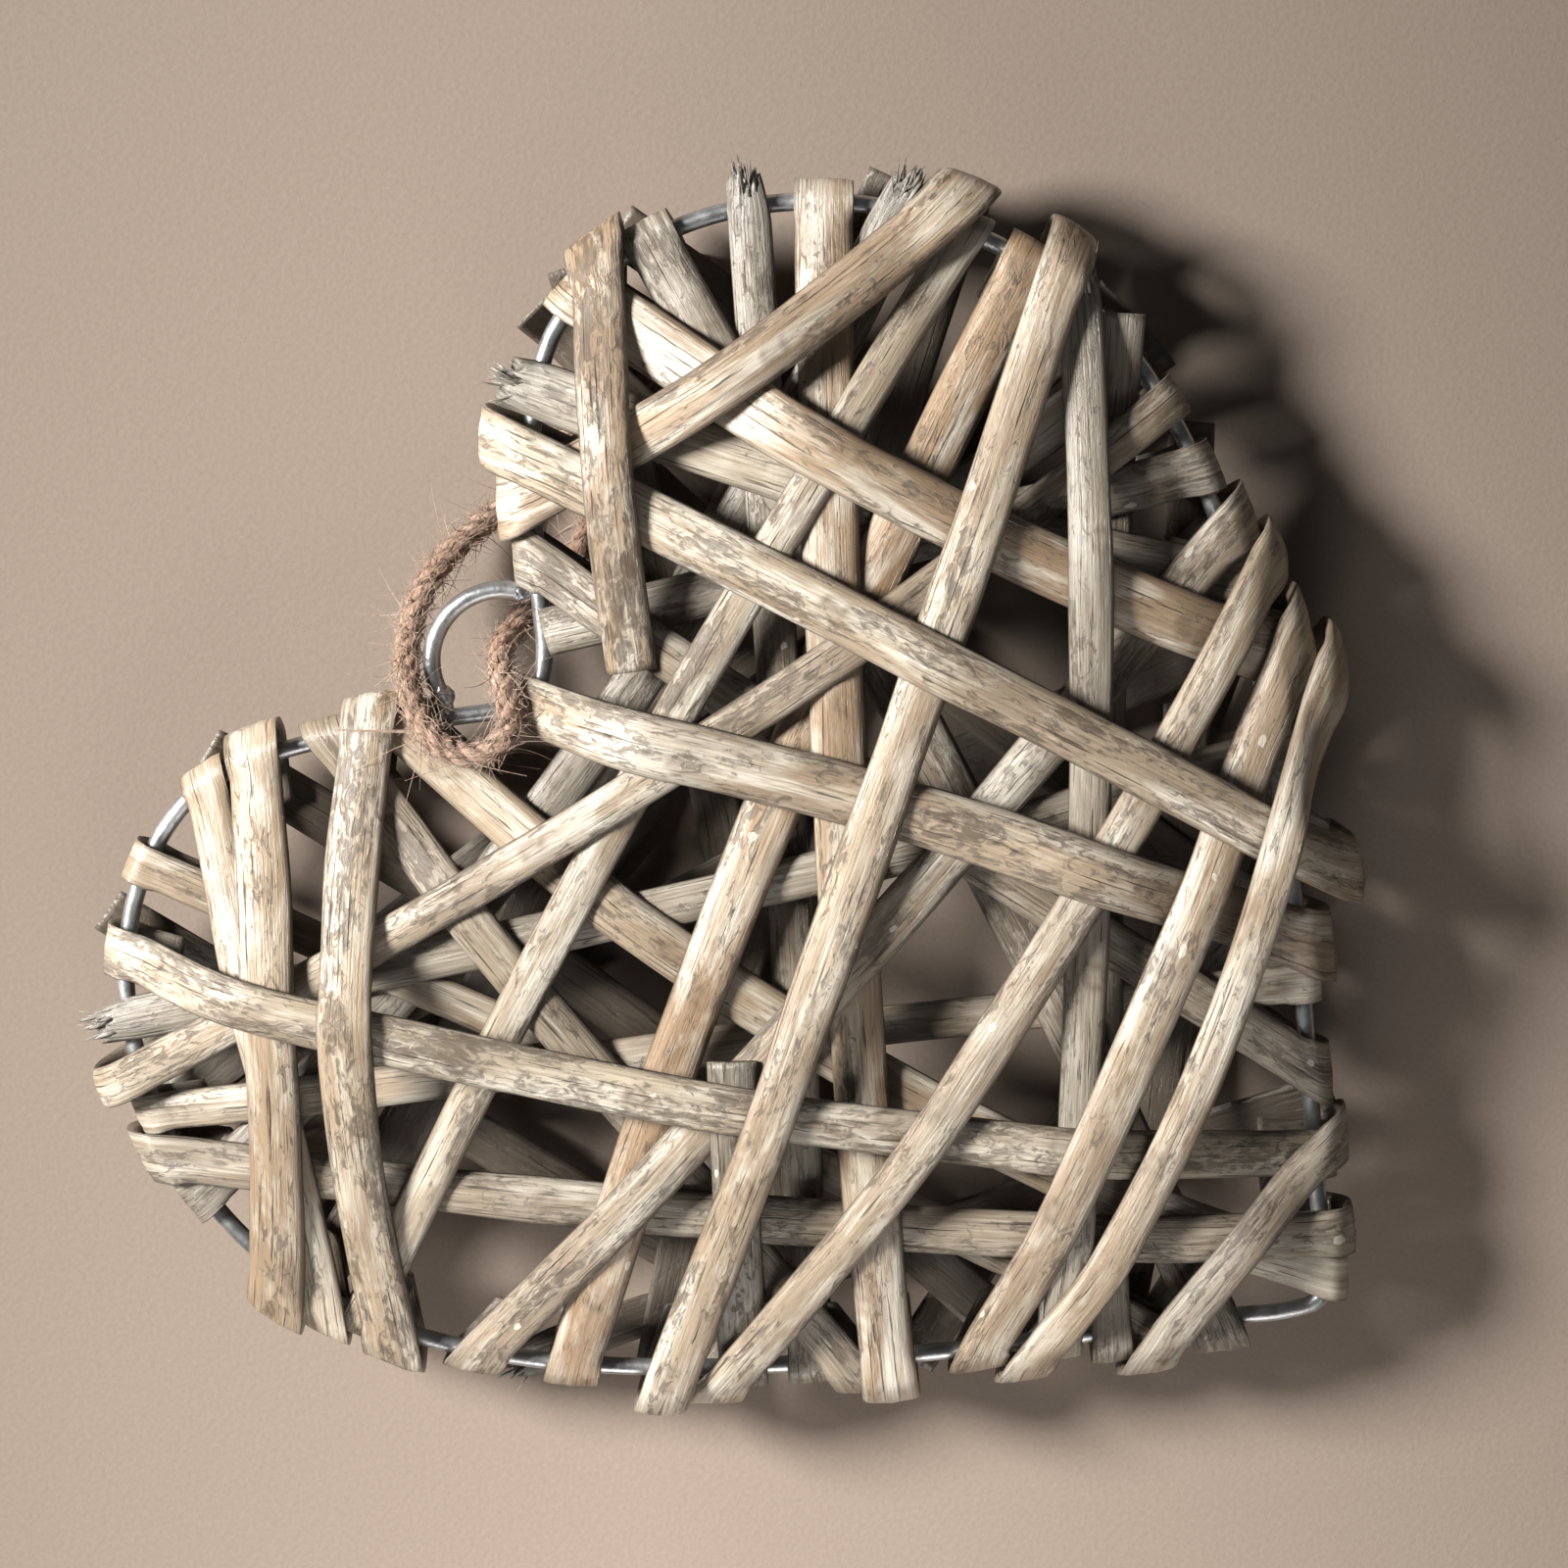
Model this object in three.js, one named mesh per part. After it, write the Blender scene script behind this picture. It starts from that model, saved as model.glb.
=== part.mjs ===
// Willow hanging heart: a wire heart wound with split willow, with a wire eye and a loop of jute twine.
// Millimetres. The heart lies on its back: +Y runs from the tip to the notch, +Z out of its front.

import * as THREE from 'three';
import { mergeVertices } from 'three/addons/utils/BufferGeometryUtils.js';

// Outline of the wire heart, along the middle of the wire
const HEART_HALF_WIDTH = 129;
const HEART_HEIGHT = 250;
const NOTCH_HEIGHT = 205;
const WIDEST_HEIGHT = 175;
const LOBE_TOP_X = 64;
const WIRE_DIAMETER = 3.6;
const CORNER_BEND = 7;

// Handles of the outline's curves, as shares of the sizes above
const TIP_HANDLE = { x: 0.33, y: 0.26 };
const SIDE_HANDLE_BELOW = 0.64;
const SIDE_HANDLE_ABOVE = 0.49;
const LOBE_HANDLE_OUT = 1.58;
const LOBE_HANDLE_IN = 0.69;
const NOTCH_HANDLE = { x: 0.3, y: 0.36 };

// Hanging eye, a ring of the same wire at the notch
const EYE_RADIUS = 14.5;
const EYE_ABOVE_NOTCH = 12;
const EYE_ASIDE = 1;
const WIRE_JOINT = 0.6;

// Willow strips, split in half along their length
const STRIP_THICKNESS_SHARE = 0.2;
const STRIP_CROWN_MIN = 1.7;
const CLEARANCE = 0.35;
const WIRE_CLEARANCE = 0.5;
const TAIL_LENGTH = 11;
const FRONT_PUFF = 3;
const BACK_PUFF = 6;
const MAX_RUN_STATIONS = 6;
const LONGEST_STEP = 34;
const STEEPEST_WRAP = 0.5;
const POKE_LENGTH = 6;
const NEAR_WIRE = 3;
const MIN_STEP = 5;
const NEAR_HOOK = 0.45;
const STEEPEST_CLIMB = 1;
const FOOT_FROM = 0.24;
const LONG_STRIP = 220;
const SETTLE_ROUNDS = 80;
const SETTLED = 0.02;
const MAX_DROP = 6;
const SHORTEST_TAIL = 5;
const TAIL_STEP = 2;
const RADIUS_STEP = 0.6;
const SLANT_STEP = 0.1;
const WRAP_MARGIN = 1;
const HOOK_TURNS = 4;
const FIT_ROUNDS = 4;
const UNDERSIDE_SHARE = 0.96;
const SHOULDER_SHARE = 0.5;

// Jute twine tied to the eye
const TWINE_DIAMETER = 4.6;

// Middle of the twine from the knot out to the eye, over its wire, back through it and to the knot,
// with y measured from the notch and z from the middle of the wire
const TWINE_ROUTE = [
  [64.5, 29.8, -19.2], [55, 29.5, -21.5], [45, 29, -22], [35, 29, -21.8], [26, 30, -19.5], [18, 32, -15.6],
  [10, 33.6, -11.8], [2, 33.4, -8.2], [-5.4, 31, -4.2], [-11.6, 26.8, 0.4], [-16, 21.4, 5.4],
  [-18.3, 15, 9.2], [-17.8, 8.6, 10.6], [-13.8, 4, 10.9], [-8, 3.2, 10.4], [-3.6, 6.6, 8.2],
  [-0.6, 11.2, 3.8], [3.4, 14, -1.2], [8, 14.2, -6], [13, 12.8, -10.8], [18.6, 12, -15.2],
  [26.5, 13.2, -19.4], [36, 16.8, -21.8], [46, 20.6, -22], [56, 23.8, -21.2], [64.5, 24.8, -19.2],
];
const TWINE_LIFT = 0.3;
const KNOT_START = 65.4;
const KNOT_LENGTH = 13;
const KNOT_RADIUS = 5.2;
const KNOT_ASIDE = 27.3;
const KNOT_SIDES = 12;
const KNOT_PROFILE = [[0, 0], [0.95, 0], [1, 0.2], [1, 0.7], [0.6, 1], [0, 1]];

// Mesh fineness
const OUTLINE_POINTS = 160;
const CORNER_POINTS = 8;
const WIRE_SIDES = 8;
const WIRE_STEPS = 100;
const EYE_STEPS = 14;
const EYE_TRIES = 720;
const TWINE_STEPS = 44;
const MERGE_WITHIN = 1e-4;
const TWINE_SIDES = 8;
const GRID_CELL = 1;
const GRID_MARGIN = 0.6;
const ROW_STRIDE = 4096;
const SAMPLE_STEP = 0.75;

const WIRE_RADIUS = WIRE_DIAMETER / 2;

const MATERIALS = {
  willow: { color: 0xb79f7c, roughness: 0.72, metalness: 0 },
  willow_back: { color: 0x8f8069, roughness: 0.8, metalness: 0 },
  wire: { color: 0xa9adb0, roughness: 0.35, metalness: 0.9 },
  jute: { color: 0xa9764d, roughness: 0.95, metalness: 0 },
};

// Each strip: where its two ends cross the wire, in per cent of the way round from the tip by the
// right lobe, its width, how far it bows sideways, and how each end finishes. The first strip is
// laid first, and each one rests on those before it. A free end stops at a point inside the heart,
// given as shares of its half width and its height.
const FRONT_STRIPS = [
  { from: 31.6, to: 70.1, width: 9.9, bow: 12, start: 'poke' },
  { from: 61.2, to: 95.6, width: 8, bow: 3 },
  { from: 67.7, to: 8.4, width: 8.3, bow: 2 },
  { from: 25.2, to: 94.6, width: 8.3, bow: -3, start: 'poke' },
  { from: 21.6, to: 48.4, width: 9.9, bow: -1, finish: 'free' },
  { from: 35.2, to: 86.9, width: 8.7, bow: 1, start: 'poke' },
  { from: 37.7, to: 97.2, width: 10.9, bow: 3 },
  { from: 46.6, to: 6.2, width: 9.9, bow: 0 },
  { from: 65.2, to: 14.4, width: 8.9, bow: -1, start: 'poke' },
  { from: 55.2, to: 87.9, width: 9.5, bow: 0 },
  { from: 53.4, to: 0.9, width: 10.9, bow: -11 },
  { from: 42.4, to: 18.6, width: 11.5, bow: -2, start: 'poke' },
  { from: 68.9, to: 2.0, width: 9.9, bow: -3 },
  { from: 28.2, to: 80.9, width: 11.1, bow: -7 },
  { from: 33.4, to: 88.9, width: 11.5, bow: -3 },
  { from: 19.9, to: 78.5, width: 9.9, bow: 0 },
  { from: 29.9, to: 75.4, width: 8.3, bow: -5 },
  { from: 23.4, to: 66.5, width: 8.3, bow: 5 },
  { from: 58.6, to: 74.3, width: 9.1, bow: 1 },
  { from: 57.2, to: 73.0, width: 11.1, bow: 2 },
  { from: 39.8, to: 17.0, width: 12.3, bow: -4 },
  { from: 26.7, to: 93.3, width: 8.7, bow: 3, start: 'poke' },
  { from: 45.0, to: 30.8, width: 10.9, bow: -2 },
  { from: 85.2, to: 86.2, width: 9.9, bow: 0, finish: 'free', across: [-0.24, 0.532] },
  { from: 63.5, to: 4.0, width: 10.3, bow: -6 },
  { from: 18.2, to: 84.9, width: 9.1, bow: 4 },
  { from: 50.3, to: 9.6, width: 12.5, bow: 5, start: 'poke', poke: 2 },
  { from: 15.6, to: 91.3, width: 9.9, bow: 1 },
  { from: 27.4, to: 83.4, width: 10.3, bow: 0 },
  { from: 44.0, to: 12.2, width: 10.9, bow: 2 },
  { from: 13.6, to: 92.8, width: 8.3, bow: 6 },
  { from: 39.2, to: 50, width: 10.3, bow: -1, finish: 'free', across: [0.132, 0.784] },
  { from: 54.3, to: 76.2, width: 11.1, bow: -5 },
  { from: 4.0, to: 96.0, width: 8.9, bow: -2 },
];
const BACK_STRIPS = [
  { from: 32, to: 74, width: 10, bow: 3 },
  { from: 41, to: 9, width: 9.5, bow: -5 },
  { from: 58, to: 92, width: 10.5, bow: 5 },
  { from: 30, to: 83, width: 9, bow: -4 },
  { from: 70, to: 17, width: 10, bow: 4 },
  { from: 24.5, to: 68, width: 9.5, bow: 0 },
  { from: 40, to: 87, width: 10, bow: 4 },
  { from: 22, to: 95, width: 9.5, bow: 6 },
  { from: 80, to: 5, width: 9, bow: -4 },
  { from: 63, to: 87.5, width: 10, bow: -3 },
  { from: 38, to: 13, width: 10, bow: 4 },
  { from: 73.5, to: 26, width: 9.5, bow: 6, foot: true },
  { from: 90, to: 11, width: 10, bow: 0, foot: true },
];

// Heart outline as a fine polyline with rounded bends at the tip and the notch
function halfHeart() {
  const tip = new THREE.Vector2(0, 0);
  const side = new THREE.Vector2(HEART_HALF_WIDTH, WIDEST_HEIGHT);
  const top = new THREE.Vector2(LOBE_TOP_X, HEART_HEIGHT);
  const notch = new THREE.Vector2(0, NOTCH_HEIGHT);
  const lobe = HEART_HEIGHT - WIDEST_HEIGHT;
  const dip = HEART_HEIGHT - NOTCH_HEIGHT;
  const path = new THREE.CurvePath();
  path.add(new THREE.CubicBezierCurve(
    tip,
    new THREE.Vector2(HEART_HALF_WIDTH * TIP_HANDLE.x, WIDEST_HEIGHT * TIP_HANDLE.y),
    new THREE.Vector2(HEART_HALF_WIDTH, WIDEST_HEIGHT * SIDE_HANDLE_BELOW),
    side,
  ));
  path.add(new THREE.CubicBezierCurve(
    side,
    new THREE.Vector2(HEART_HALF_WIDTH, WIDEST_HEIGHT + lobe * SIDE_HANDLE_ABOVE),
    new THREE.Vector2(LOBE_TOP_X * LOBE_HANDLE_OUT, HEART_HEIGHT),
    top,
  ));
  path.add(new THREE.CubicBezierCurve(
    top,
    new THREE.Vector2(LOBE_TOP_X * LOBE_HANDLE_IN, HEART_HEIGHT),
    new THREE.Vector2(LOBE_TOP_X * NOTCH_HANDLE.x, NOTCH_HEIGHT + dip * NOTCH_HANDLE.y),
    notch,
  ));
  return path.getSpacedPoints(OUTLINE_POINTS);
}

function roundedEnds(points) {
  const start = points[0];
  const end = points[points.length - 1];
  return points.filter((p) => p.distanceTo(start) >= CORNER_BEND && p.distanceTo(end) >= CORNER_BEND);
}

function bend(before, corner, after) {
  return new THREE.QuadraticBezierCurve(before, corner, after).getPoints(CORNER_POINTS).slice(1, -1);
}

function heartOutline() {
  const half = halfHeart();
  const tip = half[0];
  const notch = half[half.length - 1];
  const right = roundedEnds(half);
  const left = right.map((p) => new THREE.Vector2(-p.x, p.y)).reverse();
  const tipBend = bend(left[left.length - 1], tip, right[0]);
  const middle = Math.floor(tipBend.length / 2);
  return [
    ...tipBend.slice(middle),
    ...right,
    ...bend(right[right.length - 1], notch, left[0]),
    ...left,
    ...tipBend.slice(0, middle),
  ];
}

const RIM = heartOutline();
const RIM_REACH = [0];
for (let i = 0; i < RIM.length; i += 1) {
  RIM_REACH.push(RIM_REACH[i] + RIM[i].distanceTo(RIM[(i + 1) % RIM.length]));
}
const RIM_LENGTH = RIM_REACH[RIM.length];

// Point and outward direction on the rim, by the length from the tip
function rimAt(length) {
  const along = ((length % RIM_LENGTH) + RIM_LENGTH) % RIM_LENGTH;
  let i = 0;
  while (RIM_REACH[i + 1] < along) {
    i += 1;
  }
  const a = RIM[i];
  const b = RIM[(i + 1) % RIM.length];
  const share = (along - RIM_REACH[i]) / (RIM_REACH[i + 1] - RIM_REACH[i]);
  const tangent = b.clone().sub(a).normalize();
  return { point: a.clone().lerp(b, share), outward: new THREE.Vector2(tangent.y, -tangent.x), along };
}

// How far a point lies outside the rim, negative inside it
function outside(point) {
  let best = Infinity;
  let signed = 0;
  for (let i = 0; i < RIM.length; i += 1) {
    const a = RIM[i];
    const b = RIM[(i + 1) % RIM.length];
    const edge = b.clone().sub(a);
    const rest = point.clone().sub(a);
    const share = THREE.MathUtils.clamp(rest.dot(edge) / edge.lengthSq(), 0, 1);
    const away = rest.sub(edge.clone().multiplyScalar(share));
    if (away.length() < best) {
      best = away.length();
      signed = Math.sign(away.x * edge.y - away.y * edge.x) * best;
    }
  }
  return signed;
}

// Closed body from rings of points, each ring anticlockwise when seen against the way it is swept
function loft(rings, closed) {
  const sides = rings[0].length;
  const positions = rings.flat().flatMap((p) => [p.x, p.y, p.z]);
  const faces = [];
  const last = closed ? rings.length : rings.length - 1;
  for (let i = 0; i < last; i += 1) {
    const here = i * sides;
    const next = ((i + 1) % rings.length) * sides;
    for (let j = 0; j < sides; j += 1) {
      const k = (j + 1) % sides;
      faces.push(here + j, here + k, next + k, here + j, next + k, next + j);
    }
  }
  if (!closed) {
    const end = (rings.length - 1) * sides;
    for (let j = 1; j < sides - 1; j += 1) {
      faces.push(0, j + 1, j);
      faces.push(end, end + j, end + j + 1);
    }
  }
  const geometry = new THREE.BufferGeometry();
  geometry.setAttribute('position', new THREE.Float32BufferAttribute(positions, 3));
  geometry.setIndex(faces);
  return geometry;
}

// Surfaces already taken on one face of the heart, as a grid of heights from the wire's plane
class Pile {
  constructor() {
    this.cells = new Map();
  }

  key(x, y) {
    return Math.round(x / GRID_CELL) * ROW_STRIDE + Math.round(y / GRID_CELL);
  }

  height(x, y) {
    return this.cells.get(this.key(x, y)) ?? -Infinity;
  }

  cover(x, y, height) {
    const margin = GRID_CELL * GRID_MARGIN;
    for (const dx of [-margin, margin]) {
      for (const dy of [-margin, margin]) {
        const key = this.key(x + dx, y + dy);
        this.cells.set(key, Math.max(this.cells.get(key) ?? -Infinity, height));
      }
    }
  }
}

const PILES = { front: new Pile(), back: new Pile() };
const WRAPS = [];

// Half-round section of a split rod: across its width, and up through its thickness
function stripSection(width, flatTop) {
  const thick = Math.max(STRIP_CROWN_MIN, width * STRIP_THICKNESS_SHARE);
  const half = width / 2;
  const shoulder = thick * SHOULDER_SHARE;
  const crown = flatTop ? [[half * SHOULDER_SHARE, thick], [-half * SHOULDER_SHARE, thick]] : [[0, thick]];
  return [
    [-half * UNDERSIDE_SHARE, 0],
    [half * UNDERSIDE_SHARE, 0],
    [half, shoulder],
    ...crown,
    [-half, shoulder],
  ];
}

// A wrap goes half way round the wire in equal turns, with its flats clear of the wire
const HOOK_STEP = Math.PI / HOOK_TURNS;
const HOOK_ANGLES = Array.from({ length: HOOK_TURNS }, (_, k) => (k + 0.5) * HOOK_STEP);
const HOOK_REACH = 1 / Math.cos(HOOK_STEP / 2);

// Inner radius of a new wrap, over the wraps that it would run into
function wrapRadius(end) {
  let radius = WIRE_RADIUS + WIRE_CLEARANCE;
  for (const other of WRAPS) {
    const gap = Math.abs(other.along - end.along);
    if (Math.min(gap, RIM_LENGTH - gap) < end.halfSpan + other.halfSpan) {
      radius = Math.max(radius, other.outer + CLEARANCE);
    }
  }
  return radius;
}

// One end of a strip at the wire: its place, its way out, and how many wraps lie under it
function endAt(percent, towards, width, kind) {
  const { point, outward, along } = rimAt((percent / 100) * RIM_LENGTH);
  const way = point.clone().sub(towards).normalize();
  let slant = way.dot(outward);
  while (slant < STEEPEST_WRAP) {
    way.addScaledVector(outward, SLANT_STEP).normalize();
    slant = way.dot(outward);
  }
  const halfSpan = width / slant / 2 + WRAP_MARGIN;
  return { point, way, along, halfSpan, kind, slant };
}

// Section placed at a distance outside the wire, with each of its points at that same distance
function sectionAtRim(end, section, lift) {
  const across = new THREE.Vector2(-end.way.y, end.way.x);
  return section.map(([v, h]) => {
    const { distance, z } = lift(h);
    const base = end.point.clone().addScaledVector(across, v * end.turn);
    const spot = base.clone().addScaledVector(end.way, distance / end.slant);
    for (let i = 0; i < FIT_ROUNDS; i += 1) {
      spot.addScaledVector(end.way, (distance - outside(spot)) / end.slant);
    }
    return new THREE.Vector3(spot.x, spot.y, z);
  });
}

// Concave line over all the points that must be cleared
function tautLine(points) {
  const line = [];
  for (const p of points) {
    while (line.length > 1) {
      const a = line[line.length - 2];
      const b = line[line.length - 1];
      if ((b.z - a.z) * (p.s - a.s) <= (p.z - a.z) * (b.s - a.s)) {
        line.pop();
      } else {
        break;
      }
    }
    line.push(p);
  }
  return line;
}

// Fewer corners, each moved outwards so that the line stays above what it cleared
function simplified(line, most) {
  const out = line.map((p) => ({ ...p }));
  while (out.length > most + 2) {
    let best = null;
    for (let i = 1; i < out.length - 2; i += 1) {
      const [a, b, c, d] = out.slice(i - 1, i + 3);
      const first = (b.z - a.z) / (b.s - a.s);
      const second = (d.z - c.z) / (d.s - c.s);
      const s = (c.z - a.z - second * c.s + first * a.s) / (first - second);
      const z = a.z + first * (s - a.s);
      const chord = b.z + ((c.z - b.z) * (s - b.s)) / (c.s - b.s);
      const cost = (z - chord) * (c.s - b.s);
      if (s >= b.s && s <= c.s && (best === null || cost < best.cost)) {
        best = { i, s, z, cost };
      }
    }
    if (best === null) {
      break;
    }
    out.splice(best.i, 2, { s: best.s, z: best.z });
  }
  return out;
}

function withoutLongSteps(line) {
  const out = [line[0]];
  for (let i = 1; i < line.length; i += 1) {
    const a = line[i - 1];
    const b = line[i];
    const parts = Math.ceil((b.s - a.s) / LONGEST_STEP);
    for (let k = 1; k <= parts; k += 1) {
      out.push({ s: a.s + ((b.s - a.s) * k) / parts, z: a.z + ((b.z - a.z) * k) / parts });
    }
  }
  return out;
}

function eachSample(p00, p01, p10, p11, visit) {
  const rows = Math.ceil(Math.max(p00.distanceTo(p10), p01.distanceTo(p11)) / SAMPLE_STEP) + 1;
  const columns = Math.ceil(Math.max(p00.distanceTo(p01), p10.distanceTo(p11)) / SAMPLE_STEP) + 1;
  const low = new THREE.Vector3();
  const high = new THREE.Vector3();
  for (let r = 0; r <= rows; r += 1) {
    low.lerpVectors(p00, p10, r / rows);
    high.lerpVectors(p01, p11, r / rows);
    for (let c = 0; c <= columns; c += 1) {
      visit(low.clone().lerp(high, c / columns), r / rows);
    }
  }
}

function coverPiles(rings) {
  for (let i = 0; i < rings.length - 1; i += 1) {
    for (let j = 0; j < rings[i].length; j += 1) {
      const k = (j + 1) % rings[i].length;
      eachSample(rings[i][j], rings[i][k], rings[i + 1][j], rings[i + 1][k], (p) => {
        PILES.front.cover(p.x, p.y, p.z);
        PILES.back.cover(p.x, p.y, -p.z);
      });
    }
  }
}

// How far the underside of one stretch of strip sinks into what is already there
function sinking(ringA, ringB, side) {
  const pile = side > 0 ? PILES.front : PILES.back;
  const worst = { deep: 0, share: 0 };
  eachSample(ringA[0], ringA[1], ringB[0], ringB[1], (p, share) => {
    const deep = pile.height(p.x, p.y) + CLEARANCE - side * p.z;
    if (deep > worst.deep) {
      worst.deep = deep;
      worst.share = share;
    }
  });
  return worst;
}

// Lays one strip on a face of the heart (side is 1 for the front and -1 for the back)
function layStrip(spec, side, puff) {
  const section = stripSection(spec.width, spec.foot);
  const a = rimAt((spec.from / 100) * RIM_LENGTH).point;
  const b = spec.across
    ? new THREE.Vector2(spec.across[0] * HEART_HALF_WIDTH, spec.across[1] * HEART_HEIGHT)
    : rimAt((spec.to / 100) * RIM_LENGTH).point;
  const chord = b.clone().sub(a);
  const aside = new THREE.Vector2(-chord.y, chord.x).normalize();
  const control = a.clone().add(b).multiplyScalar(0.5).addScaledVector(aside, spec.bow * 2);
  const plan = new THREE.QuadraticBezierCurve(a, control, b);
  const length = plan.getLength();
  const kinds = [spec.start ?? (side > 0 ? 'wrap' : 'poke'), spec.finish ?? (side > 0 ? 'wrap' : 'poke')];
  const ends = [
    endAt(spec.from, control, spec.width, kinds[0]),
    endAt(spec.to, control, spec.width, kinds[1]),
  ];
  ends[0].turn = -1;
  ends[1].turn = 1;
  for (const end of ends) {
    end.radius = wrapRadius(end);
    end.tail = TAIL_LENGTH;
    end.drop = 0;
    end.poke = end.kind === 'poke' ? spec.poke ?? POKE_LENGTH : 0;
  }
  return { section, plan, length, ends, side, puff, spec };
}

// Place and way along a strip, running straight on past its ends
function planAt(strip, s) {
  const [start, finish] = strip.ends;
  if (s < 0) {
    return { middle: start.point.clone().addScaledVector(start.way, -s), way: start.way.clone().negate() };
  }
  if (s > strip.length) {
    return {
      middle: finish.point.clone().addScaledVector(finish.way, s - strip.length),
      way: finish.way.clone(),
    };
  }
  const share = s / strip.length;
  return { middle: strip.plan.getPointAt(share), way: strip.plan.getTangentAt(share) };
}

function ringOnRun(strip, s, z) {
  const { middle, way } = planAt(strip, s);
  return strip.section.map(([v, h]) => new THREE.Vector3(
    middle.x - way.y * v * strip.side,
    middle.y + way.x * v * strip.side,
    strip.side * (z + h),
  ));
}

// Rings that take one end of a strip round the wire and a little way back behind it
function wrapRings(strip, end) {
  const hook = HOOK_ANGLES.map((angle) => sectionAtRim(end, strip.section, (h) => ({
    distance: (end.radius + h) * HOOK_REACH * Math.sin(angle),
    z: (end.radius + h) * HOOK_REACH * Math.cos(angle),
  })));
  const tail = sectionAtRim(end, strip.section, (h) => ({
    distance: -end.tail,
    z: -(end.radius + h + end.drop),
  }));
  return [...hook, tail];
}

// Depth that the two resting strips share, under everything they cross
function footDepth(strips) {
  const crossed = strips.filter((strip) => strip.spec.foot && !strip.stations)
    .flatMap((strip) => obstacleLine(strip).map((p) => p.z));
  const laid = strips.filter((strip) => strip.flat);
  return laid.length ? laid[0].flat : Math.max(...crossed) + CLEARANCE;
}

function obstacleLine(strip) {
  const [start, finish] = strip.ends;
  const from = start.kind === 'wrap' ? NEAR_WIRE : -start.poke;
  const to = strip.length + (finish.kind === 'wrap' ? -NEAR_WIRE : finish.poke);
  const pile = strip.side > 0 ? PILES.front : PILES.back;
  const half = strip.spec.width / 2;
  const points = [];
  if (start.kind === 'wrap') {
    points.push({ s: 0, z: start.radius });
  }
  for (let s = from; s <= to; s += SAMPLE_STEP) {
    const { middle, way } = planAt(strip, s);
    const share = THREE.MathUtils.clamp(s / strip.length, 0, 1);
    const rise = strip.puff * 4 * share * (1 - share) * Math.min(1, strip.length / LONG_STRIP);
    let z = WIRE_RADIUS + CLEARANCE + rise;
    if (strip.flat && share > FOOT_FROM && share < 1 - FOOT_FROM) {
      z = strip.flat;
    }
    for (let v = -half; v <= half; v += SAMPLE_STEP) {
      z = Math.max(z, pile.height(middle.x - way.y * v, middle.y + way.x * v) + CLEARANCE);
    }
    points.push({ s, z });
  }
  if (finish.kind === 'wrap') {
    points.push({ s: strip.length, z: finish.radius });
  }
  return points;
}

// Corners of the run, kept clear of the slanted folds at both ends
function runStations(strip) {
  const line = withoutLongSteps(simplified(tautLine(obstacleLine(strip)), MAX_RUN_STATIONS));
  const [start, finish] = strip.ends;
  const room = (end) => (end.kind === 'wrap'
    ? (strip.spec.width / 2) * (Math.sqrt(1 - end.slant ** 2) / end.slant) + NEAR_WIRE
    : 0);
  const low = room(start);
  const high = strip.length - room(finish);
  const keep = [];
  line.forEach((p, i) => {
    const isEnd = i === 0 || i === line.length - 1;
    if (isEnd && strip.ends[i === 0 ? 0 : 1].kind === 'wrap') {
      return;
    }
    if (isEnd || (p.s > low && p.s < high)) {
      keep.push({ ...p });
    }
  });
  if (start.kind === 'wrap' && (keep.length === 0 || keep[0].s > low + MIN_STEP)) {
    keep.unshift({ s: low, z: heightOn(line, low) });
  }
  if (finish.kind === 'wrap' && keep[keep.length - 1].s < high - MIN_STEP) {
    keep.push({ s: high, z: heightOn(line, high) });
  }
  return keep.filter((p, i) => i === 0 || i === keep.length - 1 || p.s - keep[i - 1].s > MIN_STEP);
}

function heightOn(line, s) {
  const i = Math.max(1, line.findIndex((p) => p.s >= s));
  const a = line[i - 1];
  const b = line[i];
  return a.z + ((b.z - a.z) * (s - a.s)) / (b.s - a.s);
}

// Rings of a whole strip, with the station or end that can be moved at each of them
function stripRings(strip) {
  const [start, finish] = strip.ends;
  const rings = [];
  if (start.kind === 'wrap') {
    const hook = wrapRings(strip, start).reverse();
    hook.forEach((ring, i) => rings.push({ ring, end: start, tail: i === 0 }));
  }
  for (const station of strip.stations) {
    rings.push({ ring: ringOnRun(strip, station.s, station.z), station });
  }
  if (finish.kind === 'wrap') {
    const hook = wrapRings(strip, finish);
    hook.forEach((ring, i) => rings.push({ ring, end: finish, tail: i === hook.length - 1 }));
  }
  return rings;
}

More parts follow.
